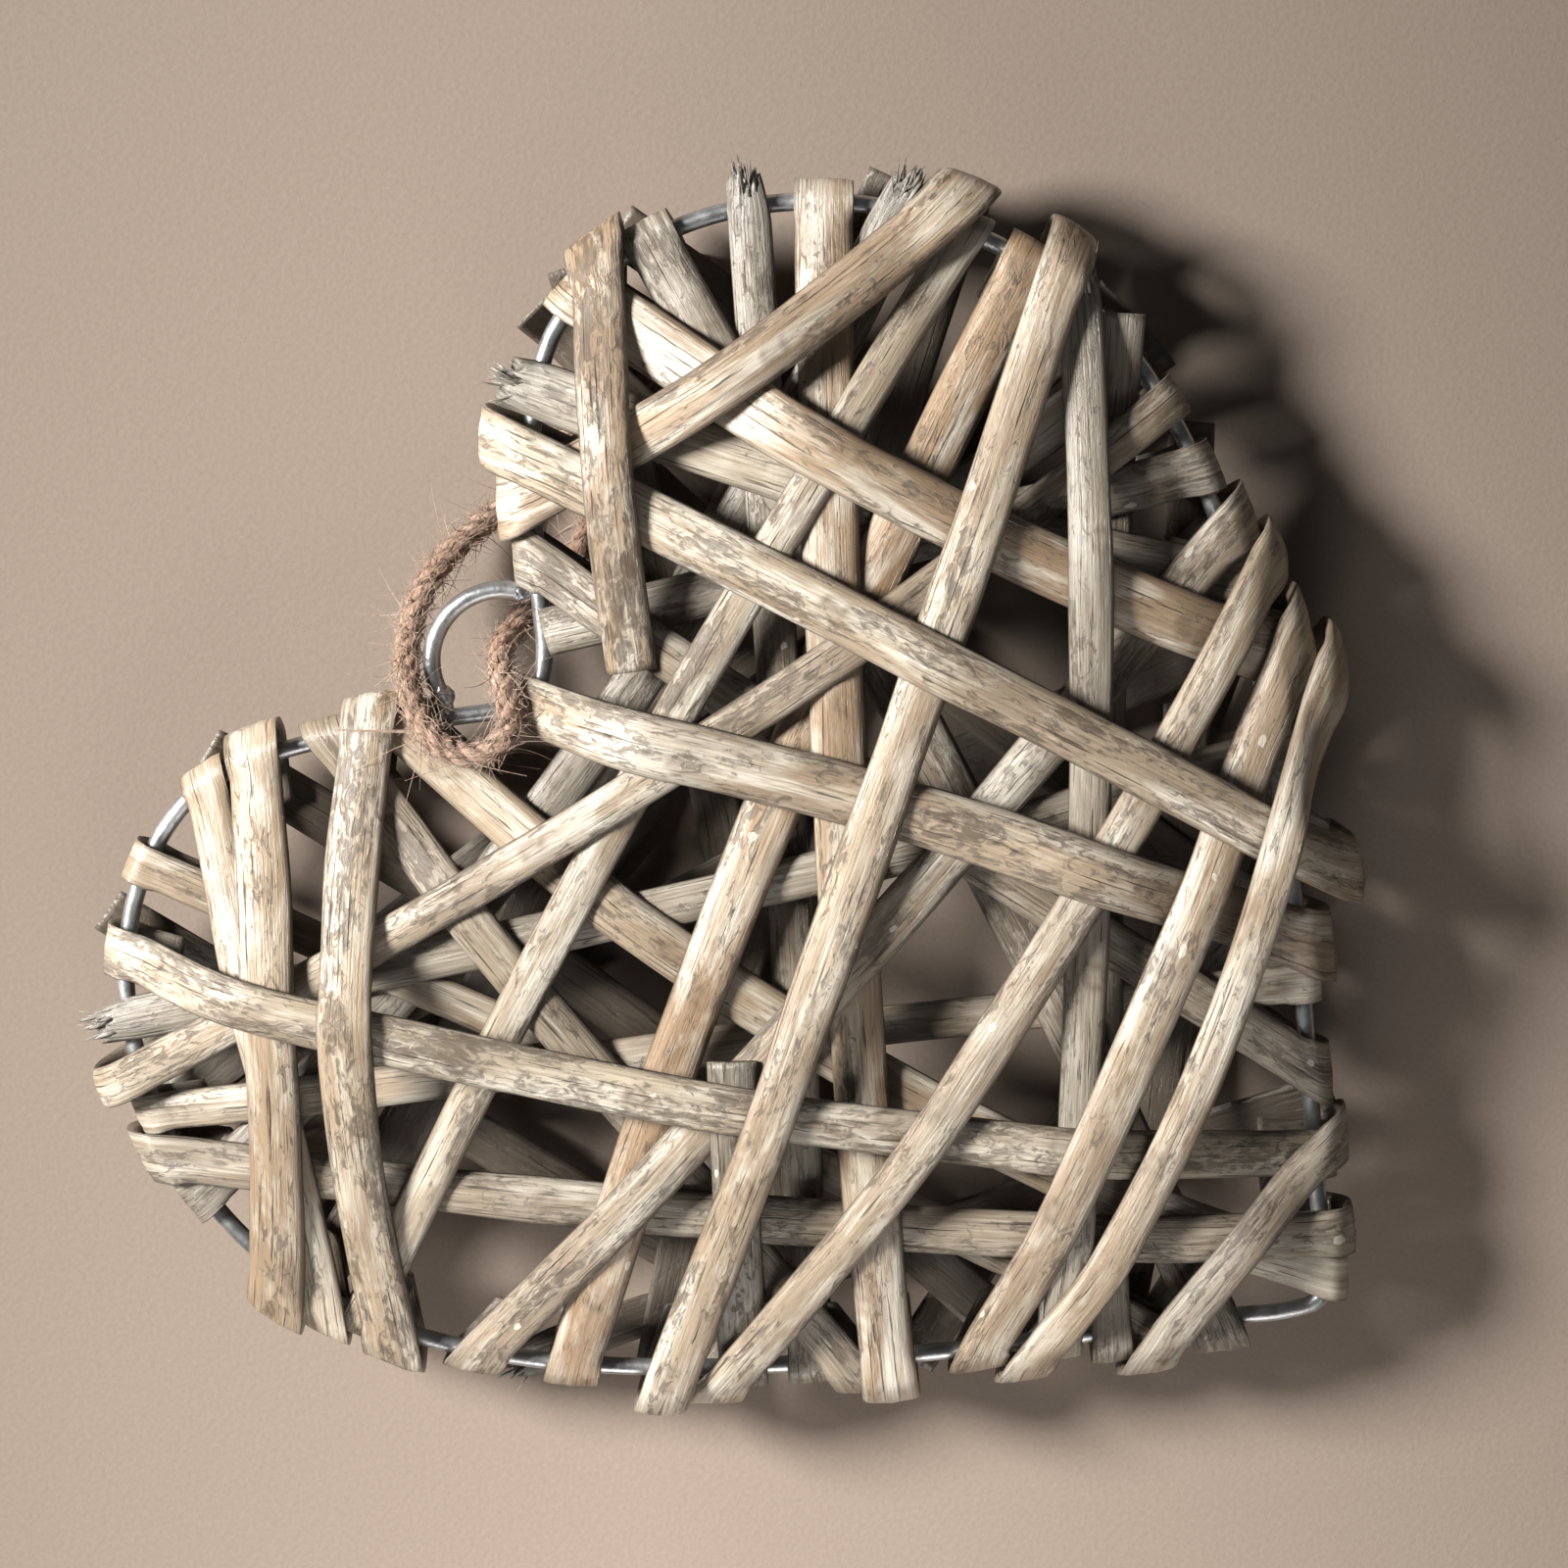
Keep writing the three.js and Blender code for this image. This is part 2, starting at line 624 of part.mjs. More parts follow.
// Lifts a strip until it rests on what lies under it, and gives its rings
function settled(strip) {
  strip.stations = runStations(strip);
  for (let round = 0; round < SETTLE_ROUNDS; round += 1) {
    const rings = stripRings(strip);
    let moved = false;
    for (let i = 0; i < rings.length - 1; i += 1) {
      const a = rings[i];
      const b = rings[i + 1];
      const end = a.end ?? b.end;
      if (a.station || b.station) {
        const { deep, share } = sinking(a.ring, b.ring, strip.side);
        if (deep > SETTLED) {
          moved = true;
          const fromWire = a.station ? 1 - share : share;
          if (end && fromWire < NEAR_HOOK) {
            end.radius += deep;
          } else if (end) {
            const station = a.station ?? b.station;
            station.z += deep;
            const reach = end === strip.ends[0] ? station.s : strip.length - station.s;
            end.radius = Math.max(end.radius, station.z - STEEPEST_CLIMB * reach);
          } else {
            a.station.z += deep * (1 - share) + SETTLED;
            b.station.z += deep * share + SETTLED;
          }
        }
      } else if (a.tail || b.tail) {
        const { deep } = sinking(a.ring, b.ring, -strip.side);
        if (deep > SETTLED) {
          moved = true;
          end.drop += deep;
          if (end.drop > MAX_DROP) {
            end.drop = 0;
            end.tail = Math.max(end.tail - TAIL_STEP, SHORTEST_TAIL);
            end.radius += end.tail === SHORTEST_TAIL ? RADIUS_STEP : 0;
          }
        }
      }
    }
    if (!moved) {
      return rings.map((r) => r.ring);
    }
  }
  return stripRings(strip).map((r) => r.ring);
}

// Round wire or twine along a curve
function rod(curve, diameter, steps, sides) {
  const section = new THREE.Shape(Array.from({ length: sides }, (_, k) => {
    const angle = (k / sides) * 2 * Math.PI;
    return new THREE.Vector2(Math.cos(angle), Math.sin(angle)).multiplyScalar(diameter / 2);
  }));
  const geometry = new THREE.ExtrudeGeometry(section, { steps, extrudePath: curve, bevelEnabled: false });
  geometry.deleteAttribute('normal');
  geometry.deleteAttribute('uv');
  return mergeVertices(geometry, MERGE_WITHIN);
}

// The heart's wire starts and ends at the notch, where its two ends meet
class HeartWire extends THREE.Curve {
  getPoint(t) {
    const turn = RIM_LENGTH / 2 + WIRE_JOINT / 2 + t * (RIM_LENGTH - WIRE_JOINT);
    const { point } = rimAt(turn);
    return new THREE.Vector3(point.x, point.y, 0);
  }
}

// The eye is the part of a ring that lies outside the heart, and its ends meet the heart's wire
const EYE_CENTRE = new THREE.Vector2(EYE_ASIDE, NOTCH_HEIGHT + EYE_ABOVE_NOTCH);

function eyePoint(angle) {
  return new THREE.Vector2(Math.cos(angle), Math.sin(angle)).multiplyScalar(EYE_RADIUS).add(EYE_CENTRE);
}

class EyeWire extends THREE.Curve {
  constructor() {
    super();
    const turns = Array.from({ length: EYE_TRIES }, (_, i) => (i / EYE_TRIES) * 2 * Math.PI - Math.PI / 2);
    this.free = turns.filter((angle) => outside(eyePoint(angle)) > WIRE_DIAMETER + CLEARANCE);
  }

  getPoint(t) {
    const first = this.free[0];
    const last = this.free[this.free.length - 1];
    const point = eyePoint(first + (last - first) * t);
    return new THREE.Vector3(point.x, point.y, 0);
  }
}

// Knot that joins the two ends of the twine, a lump with rounded ends lying along X
function knotLump(height) {
  const profile = KNOT_PROFILE.map(([out, along]) => new THREE.Vector2(out * KNOT_RADIUS, along * KNOT_LENGTH));
  const geometry = new THREE.LatheGeometry(profile, KNOT_SIDES);
  geometry.rotateZ(-Math.PI / 2);
  geometry.translate(KNOT_START, NOTCH_HEIGHT + KNOT_ASIDE, height);
  geometry.deleteAttribute('normal');
  geometry.deleteAttribute('uv');
  return mergeVertices(geometry, MERGE_WITHIN);
}

const heart = new THREE.Group();

function addPiece(name, geometry, material) {
  const mesh = new THREE.Mesh(geometry, new THREE.MeshStandardMaterial(MATERIALS[material]));
  mesh.name = name;
  heart.add(mesh);
}

function number(i) {
  return String(i + 1).padStart(2, '0');
}

addPiece('wire_heart', rod(new HeartWire(), WIRE_DIAMETER, WIRE_STEPS, WIRE_SIDES), 'wire');
addPiece('wire_eye', rod(new EyeWire(), WIRE_DIAMETER, EYE_STEPS, WIRE_SIDES), 'wire');

FRONT_STRIPS.forEach((spec, i) => {
  const strip = layStrip(spec, 1, FRONT_PUFF);
  const rings = settled(strip);
  coverPiles(rings);
  strip.ends.forEach((end) => {
    if (end.kind === 'free') {
      return;
    }
    const top = strip.stations[end === strip.ends[0] ? 0 : strip.stations.length - 1].z;
    const outer = end.kind === 'wrap'
      ? end.radius + strip.section[3][1]
      : Math.hypot(end.poke, top + strip.section[3][1]);
    WRAPS.push({ along: end.along, halfSpan: end.halfSpan, outer });
  });
  addPiece(`willow_strip_front_${number(i)}`, loft(rings, false), 'willow');
});
const backStrips = BACK_STRIPS.map((spec) => layStrip(spec, -1, BACK_PUFF));
backStrips.forEach((strip, i) => {
  if (strip.spec.foot) {
    strip.flat = footDepth(backStrips);
  }
  const rings = settled(strip);
  coverPiles(rings);
  addPiece(`willow_strip_back_${number(i)}`, loft(rings, false), 'willow_back');
});

// The heart lies on its lowest strip
const wood = new THREE.Box3();
heart.children.forEach((mesh) => wood.expandByObject(mesh));
const surface = wood.min.z;

// The twine and its knot lie on the same surface
const knotHeight = surface + KNOT_RADIUS + TWINE_LIFT;
const twinePoints = TWINE_ROUTE.map(([x, y, z]) => {
  const height = Math.max(z, surface + TWINE_DIAMETER / 2 + TWINE_LIFT);
  return new THREE.Vector3(x, NOTCH_HEIGHT + y, height);
});
twinePoints[0].z = knotHeight;
twinePoints[twinePoints.length - 1].z = knotHeight;
const twineCurve = new THREE.CatmullRomCurve3(twinePoints);
addPiece('jute_twine', rod(twineCurve, TWINE_DIAMETER, TWINE_STEPS, TWINE_SIDES), 'jute');
addPiece('twine_knot', knotLump(knotHeight), 'jute');

// The origin is on that surface, under the middle of the wood and wire
const middle = wood.getCenter(new THREE.Vector3());
heart.position.set(-middle.x, -middle.y, -surface);

export default heart;
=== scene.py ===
# %% [markdown]
# # A willow heart on a wire frame
#
# The heart is a bent wire wound with split willow strips, with a wire eye at the notch and a loop of
# jute twine. Its sizes and places are settled already, in the solids that are loaded here as a frame.
# This script gives each piece its real surface: rounded, grainy, weathered strips with torn ends,
# galvanised wire, and twisted, hairy twine. Everything is in metres.

# %% Load the frame
import math
import random

import bmesh
import bpy
from mathutils import Matrix, Vector, noise


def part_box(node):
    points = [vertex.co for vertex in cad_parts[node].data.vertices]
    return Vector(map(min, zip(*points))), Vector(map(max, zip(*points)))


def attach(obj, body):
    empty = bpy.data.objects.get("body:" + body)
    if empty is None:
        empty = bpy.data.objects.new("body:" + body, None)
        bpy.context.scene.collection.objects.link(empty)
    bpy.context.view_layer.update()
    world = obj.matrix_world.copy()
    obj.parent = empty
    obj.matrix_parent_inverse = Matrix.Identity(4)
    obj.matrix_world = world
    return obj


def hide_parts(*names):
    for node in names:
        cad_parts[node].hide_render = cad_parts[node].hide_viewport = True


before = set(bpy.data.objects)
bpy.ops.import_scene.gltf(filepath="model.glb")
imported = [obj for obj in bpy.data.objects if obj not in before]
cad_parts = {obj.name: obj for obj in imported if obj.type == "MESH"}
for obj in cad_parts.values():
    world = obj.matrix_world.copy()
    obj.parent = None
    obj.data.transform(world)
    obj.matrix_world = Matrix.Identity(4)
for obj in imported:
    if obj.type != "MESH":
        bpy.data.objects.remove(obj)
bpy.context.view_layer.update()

MM = 0.001
LOWEST = 0.1 * MM

# %% [markdown]
# ## Camera
#
# The photograph looks at the front of the heart from a little above its upper right side, with the tip
# at the lower right. A camera can be placed by typing its location and rotation, or by building its
# axes from what it looks at and which way is up. The second way is used, because both are known.

# %% Camera
CAMERA_AT = Vector((0.1384, 0.1206, 0.8012))
LOOKS_AT = Vector((0.0153, 0.0285, 0.0236))
UP_IN_VIEW = Vector((0.7838, 0.6210, 0.0))
LENS_MM = 90.0

camera_data = bpy.data.cameras.new("camera")
camera_data.sensor_width = 36.0
camera_data.lens = LENS_MM
camera_data.clip_end = 20.0
camera = bpy.data.objects.new("camera", camera_data)
bpy.context.scene.collection.objects.link(camera)
ahead = (LOOKS_AT - CAMERA_AT).normalized()
right = ahead.cross(UP_IN_VIEW).normalized()
upwards = right.cross(ahead)
camera.matrix_world = Matrix.Translation(CAMERA_AT) @ Matrix((right, upwards, -ahead)).transposed().to_4x4()
bpy.context.scene.camera = camera
print("camera:", round((LOOKS_AT - CAMERA_AT).length, 3), "m from the heart")

# %% [markdown]
# ## Floor and light
#
# The heart lies on pale, warm paper; painted shade darkens it towards its edges, most of all at the top.
# One large soft lamp stands to the upper left of the view, so that each strip is bright along its crown
# and its shadow falls to the right. A weaker lamp and a dim sky fill the shadows. Large area lamps are
# used because a studio softbox is one.

# %% Floor and light
def new_material(name):
    material = bpy.data.materials.new(name)
    material.use_nodes = True
    shader = material.node_tree.nodes["Principled BSDF"]
    return material, material.node_tree, shader


def add_node(tree, kind, **settings):
    made = tree.nodes.new(kind)
    for key, value in settings.items():
        if key in made.inputs:
            made.inputs[key].default_value = value
        else:
            setattr(made, key, value)
    return made


def ramp(tree, source, stops):
    made = tree.nodes.new("ShaderNodeValToRGB")
    while len(made.color_ramp.elements) < len(stops):
        made.color_ramp.elements.new(0.5)
    for element, (place, colour) in zip(made.color_ramp.elements, stops):
        element.position = place
        element.color = (*colour, 1.0) if isinstance(colour, tuple) else (colour, colour, colour, 1.0)
    tree.links.new(source, made.inputs["Fac"])
    return made.outputs["Color"]


def mixed(tree, factor, first, second, blend="MIX"):
    made = tree.nodes.new("ShaderNodeMix")
    made.data_type = "RGBA"
    made.blend_type = blend
    for socket, value in ((made.inputs[0], factor), (made.inputs[6], first), (made.inputs[7], second)):
        if isinstance(value, bpy.types.NodeSocket):
            tree.links.new(value, socket)
        elif isinstance(value, tuple):
            socket.default_value = (*value, 1.0)
        else:
            socket.default_value = value
    return made.outputs[2]


def bumped(tree, shader, height, distance, strength=1.0):
    made = add_node(tree, "ShaderNodeBump", Strength=strength, Distance=distance)
    tree.links.new(height, made.inputs["Height"])
    tree.links.new(made.outputs["Normal"], shader.inputs["Normal"])


# painted shade on the paper: how far from the middle it runs, and (place, brightness) upwards and to the
# left in the view
PAINTED_SHADE_REACH = 0.22
UPWARD_PAINTED_SHADE = ((0.15, 1.0), (0.45, 0.86), (1.0, 0.64))
LEFTWARD_PAINTED_SHADE = ((0.1, 0.84), (0.45, 1.0), (0.6, 1.0), (0.95, 0.66))
PAPER_TINTS = ((0.3, (0.305, 0.245, 0.202)), (0.7, (0.335, 0.272, 0.226)))


def paper_material():
    material, tree, shader = new_material("pale_paper")
    places = tree.nodes.new("ShaderNodeTexCoord").outputs["Object"]
    grain = add_node(tree, "ShaderNodeTexNoise", Scale=900.0, Detail=4.0)
    tree.links.new(places, grain.inputs["Vector"])
    colour = ramp(tree, grain.outputs["Fac"], PAPER_TINTS)
    turned = add_node(tree, "ShaderNodeMapping", Rotation=(0, 0, -math.atan2(UP_IN_VIEW.y, UP_IN_VIEW.x)))
    tree.links.new(places, turned.inputs["Vector"])
    apart = add_node(tree, "ShaderNodeSeparateXYZ")
    tree.links.new(turned.outputs["Vector"], apart.inputs["Vector"])
    # painted shade: the paper's colour is darkened towards the edges of the view, most of all at the top
    for axis, stops in (("X", UPWARD_PAINTED_SHADE), ("Y", LEFTWARD_PAINTED_SHADE)):
        along = add_node(tree, "ShaderNodeMapRange")
        for key, value in (("From Min", -PAINTED_SHADE_REACH), ("From Max", PAINTED_SHADE_REACH)):
            along.inputs[key].default_value = value
        tree.links.new(apart.outputs[axis], along.inputs["Value"])
        painted_falloff = ramp(tree, along.outputs["Result"], stops)
        colour = mixed(tree, 1.0, colour, painted_falloff, "MULTIPLY")
    tree.links.new(colour, shader.inputs["Base Color"])
    shader.inputs["Roughness"].default_value = 0.95
    shader.inputs["Specular IOR Level"].default_value = 0.08
    bumped(tree, shader, grain.outputs["Fac"], 0.0002, 0.4)
    return material


def add_lamp(name, place, aim, size, power, colour):
    data = bpy.data.lights.new(name, "AREA")
    data.shape = "DISK"
    data.size = size
    data.energy = power
    data.color = colour
    lamp = bpy.data.objects.new(name, data)
    lamp.location = place
    lamp.rotation_euler = (Vector(aim) - Vector(place)).to_track_quat("-Z", "Y").to_euler()
    bpy.context.scene.collection.objects.link(lamp)


bpy.ops.object.select_all(action="DESELECT")
bpy.ops.mesh.primitive_plane_add(size=6.0, location=(0, 0, 0))
floor = bpy.context.object
floor.name = "paper_floor"
floor.data.materials.append(paper_material())

add_lamp("key_lamp", (-0.242, 0.833, 0.62), (0.02, 0.02, 0.02), 0.30, 33.0, (1.0, 0.975, 0.935))
add_lamp("fill_lamp", (-0.50, -0.42, 0.42), (-0.12, -0.10, 0.0), 0.5, 3.0, (1.0, 0.965, 0.925))
world = bpy.data.worlds.new("soft_sky")
world.use_nodes = True
sky = world.node_tree.nodes["Background"]
sky.inputs["Color"].default_value = (0.93, 0.95, 1.0, 1.0)
sky.inputs["Strength"].default_value = 0.055
bpy.context.scene.world = world
bpy.context.scene.view_settings.view_transform = "Standard"
print("lamps:", len(bpy.data.lights))

# %% [markdown]
# ## Reading a strip back from its solid
#
# Every willow strip was made as a row of sections swept along its way, and stored as loose triangles.
# A smooth strip could be drawn again by hand, but it would miss the places where it rests on others.
# So a copy of each solid is merged, and its sections are read back from it, one ring after the other.

# %% Sections of a swept solid
MERGE_WITHIN = 2e-6
FLAT_ENOUGH = (0.99995, 0.999)


def merged_copy(node):
    body = bmesh.new()
    body.from_mesh(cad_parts[node].data)
    bmesh.ops.remove_doubles(body, verts=body.verts, dist=MERGE_WITHIN)
    body.verts.index_update()
    body.faces.index_update()
    return body


def by_number(part):
    """A set has no order of its own, so its faces or corners are taken by number, the same each run."""
    return part.index


def flat_patches(body, alike):
    """Groups of faces that lie in one plane and touch. alike says how nearly their normals agree."""
    seen = set()
    for face in body.faces:
        if face in seen:
            continue
        patch, queue = {face}, [face]
        while queue:
            here = queue.pop()
            for edge in here.edges:
                for other in edge.link_faces:
                    if other not in patch and other.normal.dot(face.normal) > alike:
                        patch.add(other)
                        queue.append(other)
        seen |= patch
        yield patch


def rim_of(patch):
    """Corners of a flat patch, in order round it."""
    after = {}
    for face in sorted(patch, key=by_number):
        for loop in face.loops:
            if not any(other in patch for other in loop.edge.link_faces if other is not face):
                after[loop.vert] = loop.link_loop_next.vert
    start = min(after, key=by_number)
    order = [start]
    while after[order[-1]] is not start:
        order.append(after[order[-1]])
        if len(order) > len(after):
            return []
    return order


def next_ring(ring, used):
    """The corners that touch this ring and come after it, in the same order round the strip."""
    near = {other for corner in ring for edge in corner.link_edges for other in [edge.other_vert(corner)]}
    fresh = sorted((corner for corner in near if corner not in used), key=by_number)
    if len(fresh) != len(ring):
        return None
    order = [fresh[0]]
    while len(order) < len(fresh):
        rim = [
            edge for edge in order[-1].link_edges
            if any(set(face.verts) & set(ring) for face in edge.link_faces)
        ]
        linked = [edge.other_vert(order[-1]) for edge in rim]
        step = [corner for corner in linked if corner in fresh and corner not in order]
        if not step:
            return None
        order.append(step[0])
    best = None
    for way in (order, order[::-1]):
        for turn in range(len(way)):
            turned = way[turn:] + way[:turn]
            far = sum((a.co - b.co).length for a, b in zip(ring, turned))
            if best is None or far < best[0]:
                best = (far, turned)
    return best[1]


def sections_of(node, sides):
    """Rings of points along a swept solid, from one end to the other."""
    body = merged_copy(node)
    found = None
    patches = [patch for alike in FLAT_ENOUGH for patch in flat_patches(body, alike)]
    for face in body.faces:
        beside = [other for edge in face.edges for other in edge.link_faces if other is not face]
        patches += [{face, *pair} for pair in (beside[:2], beside[1:], beside[::2])]
    for patch in patches:
        if len(patch) != sides - 2:
            continue
        ring = rim_of(patch)
        if len(ring) != sides:
            continue
        rings, used = [ring], set(ring)
        while True:
            ring = next_ring(rings[-1], used)
            if ring is None:
                break
            rings.append(ring)
            used |= set(ring)
        if len(used) == len(body.verts):
            found = [[corner.co.copy() for corner in ring] for ring in rings]
            break
    body.free()
    if found is None:
        raise RuntimeError("no sections found in " + node)
    return found


FRONT = sorted(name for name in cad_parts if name.startswith("willow_strip_front_"))
BACK = sorted(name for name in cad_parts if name.startswith("willow_strip_back_"))
LYING = BACK[-2:]  # the strips that the heart lies on have a flat crown, so their sections have six sides
read_back = {name: sections_of(name, 6 if name in LYING else 5) for name in FRONT + BACK}
print("strips:", len(read_back), "rings in all:", sum(len(rings) for rings in read_back.values()))

# %% [markdown]
# ## The way and the width of each strip
#
# The flat underside of a ring is its longest edge. From it come the middle of the strip, the direction
# across it and the direction out of its crown. A smooth curve through the rings then gives a section
# every millimetre and a half, so that the bends round the wire are round too.

# %% Smooth way of a strip
STEP = 1.5 * MM


def ring_frame(ring):
    count = len(ring)
    longest = max(range(count), key=lambda i: (ring[i] - ring[(i + 1) % count]).length)
    base = [ring[(longest + i) % count] for i in range(count)]
    under = (base[0] + base[1]) / 2
    crown = sum(base[3:-1], Vector()) / len(base[3:-1])
    across = base[2] - base[-1]
    return {"middle": under, "across": across, "out": crown - under}


def smooth_between(a, b, c, d, t):
    """A point between b and c on a curve that also passes through a and d."""
    def knot(p, q):
        return max((q - p).length, 1e-6) ** 0.5
    t1 = knot(a, b)
    t2 = t1 + knot(b, c)
    t3 = t2 + knot(c, d)
    u = t1 + (t2 - t1) * t
    a1 = a * ((t1 - u) / t1) + b * (u / t1)
    a2 = b * ((t2 - u) / (t2 - t1)) + c * ((u - t1) / (t2 - t1))
    a3 = c * ((t3 - u) / (t3 - t2)) + d * ((u - t2) / (t3 - t2))
    b1 = a1 * ((t2 - u) / t2) + a2 * (u / t2)
    b2 = a2 * ((t3 - u) / (t3 - t1)) + a3 * ((u - t1) / (t3 - t1))
    return b1 * ((t2 - u) / (t2 - t1)) + b2 * ((u - t1) / (t2 - t1))


def smooth_way(rings, step=STEP):
    frames = [ring_frame(ring) for ring in rings]
    middles = [f["middle"] for f in frames]
    middles = [middles[0] * 2 - middles[1]] + middles + [middles[-1] * 2 - middles[-2]]
    way = []
    for i in range(len(frames) - 1):
        a, b, c, d = middles[i:i + 4]
        parts = max(2, math.ceil((c - b).length / step))
        for k in range(parts + (i == len(frames) - 2)):
            t = k / parts
            place = smooth_between(a, b, c, d, t)
            ease = t * t * (3 - 2 * t)
            across = frames[i]["across"].lerp(frames[i + 1]["across"], ease)
            out = frames[i]["out"].lerp(frames[i + 1]["out"], ease)
            way.append({"place": place, "across": across, "out": out})
    along = 0.0
    for i, spot in enumerate(way):
        along += (spot["place"] - way[i - 1]["place"]).length if i else 0.0
        spot["along"] = along
    return way


ways = {name: smooth_way(rings) for name, rings in read_back.items()}
print("longest strip:", round(max(way[-1]["along"] for way in ways.values()) * 1000), "mm")

# %% [markdown]
# ## Shape of a strip
#
# A split willow rod is half round, with soft edges and a flat, torn underside. Its width wanders, it
# swells at the knots, and fine ridges run along it. Sculpting each one by hand would take days, so a
# section of sixteen points is swept along the way, and noise that is stretched along the rod moves it.

# %% Strip surface
SIDES_ROUND = 11
SIDES_UNDER = 5
KNOT_SPACING = 55.0 * MM
KNOT_LONG = 4.0 * MM
KNOT_WIDE = 2.8 * MM
WIDTH_WANDERS = 0.07
BROAD_RIDGES = 0.16 * MM
FINE_RIDGES = 0.14 * MM
# in radians: a bend sharper than this begins to be a fold, and is a full fold this much further on
FOLD_STARTS = 0.25
FOLD_SPREAD = 0.55


def section_shape():
    """Points of a half-round section: how far across (-1 to 1), and how far out (0 to 1)."""
    points = []
    for i in range(SIDES_ROUND):
        angle = math.pi * i / (SIDES_ROUND - 1)
        points.append((math.cos(angle), 0.12 + 0.93 * math.sin(angle) ** 0.9))
    for i in range(SIDES_UNDER):
        share = (i + 0.5) / SIDES_UNDER
        points.append((-0.93 + 1.86 * share, 0.05 * math.sin(math.pi * share)))
    return points


SECTION = section_shape()


def fold_at(way, i, reach=3):
    """0 where the strip runs straight, 1 where it is folded over the wire."""
    before, here, after = way[max(i - reach, 0)], way[i], way[min(i + reach, len(way) - 1)]
    into, out_of = here["place"] - before["place"], after["place"] - here["place"]
    if into.length < 1e-6 or out_of.length < 1e-6:
        return 0.0
    turn = into.angle(out_of)
    return max(0.0, min(1.0, (turn - FOLD_STARTS) / FOLD_SPREAD))


def uneven(x, y, z):
    return noise.noise(Vector((x, y, z)))


def strip_points(way, seed):
    """Rings of points and their place along and round the strip."""
    rng = random.Random(seed)
    length = way[-1]["along"]
    knots = []
    place = rng.uniform(0.3, 1.0) * KNOT_SPACING
    while place < length:
        knots.append((place, rng.uniform(-0.7, 0.7), rng.uniform(0.25, 0.7) * MM))
        place += rng.uniform(0.6, 1.6) * KNOT_SPACING
    folds = [fold_at(way, i) for i in range(len(way))]
    rings = []
    for i, spot in enumerate(way):
        v = spot["along"]
        flat = max(folds[max(i - 2, 0):i + 3])
        half = spot["across"].length / 2 * (1 + 0.05 * flat)
        side = spot["across"].normalized()
        thick = spot["out"].length
        out = (spot["out"] - side * spot["out"].dot(side)).normalized()
        widen = 1 + WIDTH_WANDERS * uneven(v * 38, seed * 3.1, 0.5)
        ring = []
        for u, h in SECTION:
            rise, knotty = thick * h, 0.0
            if h > 0.1:
                rise = thick * (h + (0.80 + 0.12 * (1 - u * u) - h) * flat)
                rise += BROAD_RIDGES * uneven(u * 4.5, v * 60, seed * 1.7)
                rise += FINE_RIDGES * uneven(u * 11, v * 24, seed * 2.3 + 9)
                for centre, aside, swell in knots:
                    near = ((v - centre) / KNOT_LONG) ** 2 + ((u - aside) * half / KNOT_WIDE) ** 2
                    rise += swell * math.exp(-near) * (1 - 1.2 * math.exp(-near * 6))
                    knotty = max(knotty, math.exp(-abs(near - 0.35) * 5))
            point = spot["place"] + side * (u * half * widen) + out * rise
            ring.append((point, u, h, v, knotty))
        rings.append(ring)
    return rings


print("points in a section:", len(SECTION))

# %% [markdown]
# ## Torn ends
#
# Where a rod was snapped, its end is a ragged tuft of grey fibres. Each column of the surface is made
# to stop at its own length, and thin splinters stand out of the break. A cut end is square instead.

# %% Ends and splinters
TEAR_DEPTH = 3.2 * MM
TORN_REACH = 22.0 * MM
SPLINTER_LENGTH = 5.5 * MM
SPLINTER_ROOT = 3.5 * MM
BROAD_SPLINTERS = 11
THIN_SPLINTERS = 14


def ragged(rings, depth, seed):
    """Moves the points of the last rings along the strip, and pinches them, so that the end is torn."""
    rng = random.Random(seed)
    reach = [rng.uniform(-1.0, 0.5) * depth for _ in SECTION]
    pinch = [rng.uniform(0.55, 1.0) for _ in SECTION]
    count = min(7, len(rings) // 3)
    for back in range(count):
        ring = rings[-1 - back]
        inner = rings[-2 - back]
        way = (ring[0][0] - inner[0][0]).normalized()
        middle = sum((entry[0] for entry in ring), Vector()) / len(ring)
        share = (1 - back / count) ** 2
        for i, (point, u, h, v, knotty) in enumerate(ring):
            move = reach[i] * share
            shrink = 1 - (1 - pinch[i]) * share
            lift = uneven(u * 5, v * 400, seed) * 0.6 * MM * share
            moved = middle + (point - middle) * shrink + way * move + Vector((0, 0, lift))
            ring[i] = (moved, u, h, v + move, knotty)
    return rings


def splinters(rings, seed):
    """Tapering slivers that stand out of a torn end: a few broad ones and many hair-thin ones."""
    rng = random.Random(seed)
    end = [entry[0] for entry in rings[-1]]
    before = [entry[0] for entry in rings[-4]]
    middle = sum(end, Vector()) / len(end)
    way = (middle - sum(before, Vector()) / len(before)).normalized()
    slivers = []
    for i in range(BROAD_SPLINTERS + THIN_SPLINTERS):
        broad = i < BROAD_SPLINTERS
        corner = end[rng.randrange(len(end))].lerp(middle, rng.uniform(0.15, 0.8))
        lean = Vector((rng.uniform(-1, 1), rng.uniform(-1, 1), rng.uniform(-0.4, 0.8)))
        aim = (way + lean * (0.22 if broad else 0.5)).normalized()
        start = corner - way * SPLINTER_ROOT
        reach = rng.uniform(0.35, 1.0) * SPLINTER_LENGTH * (0.8 if broad else 1.0)
        thick = rng.uniform(0.55, 1.15) * MM if broad else rng.uniform(0.16, 0.32) * MM
        slivers.append((start, aim, reach + SPLINTER_ROOT, thick))
    return slivers


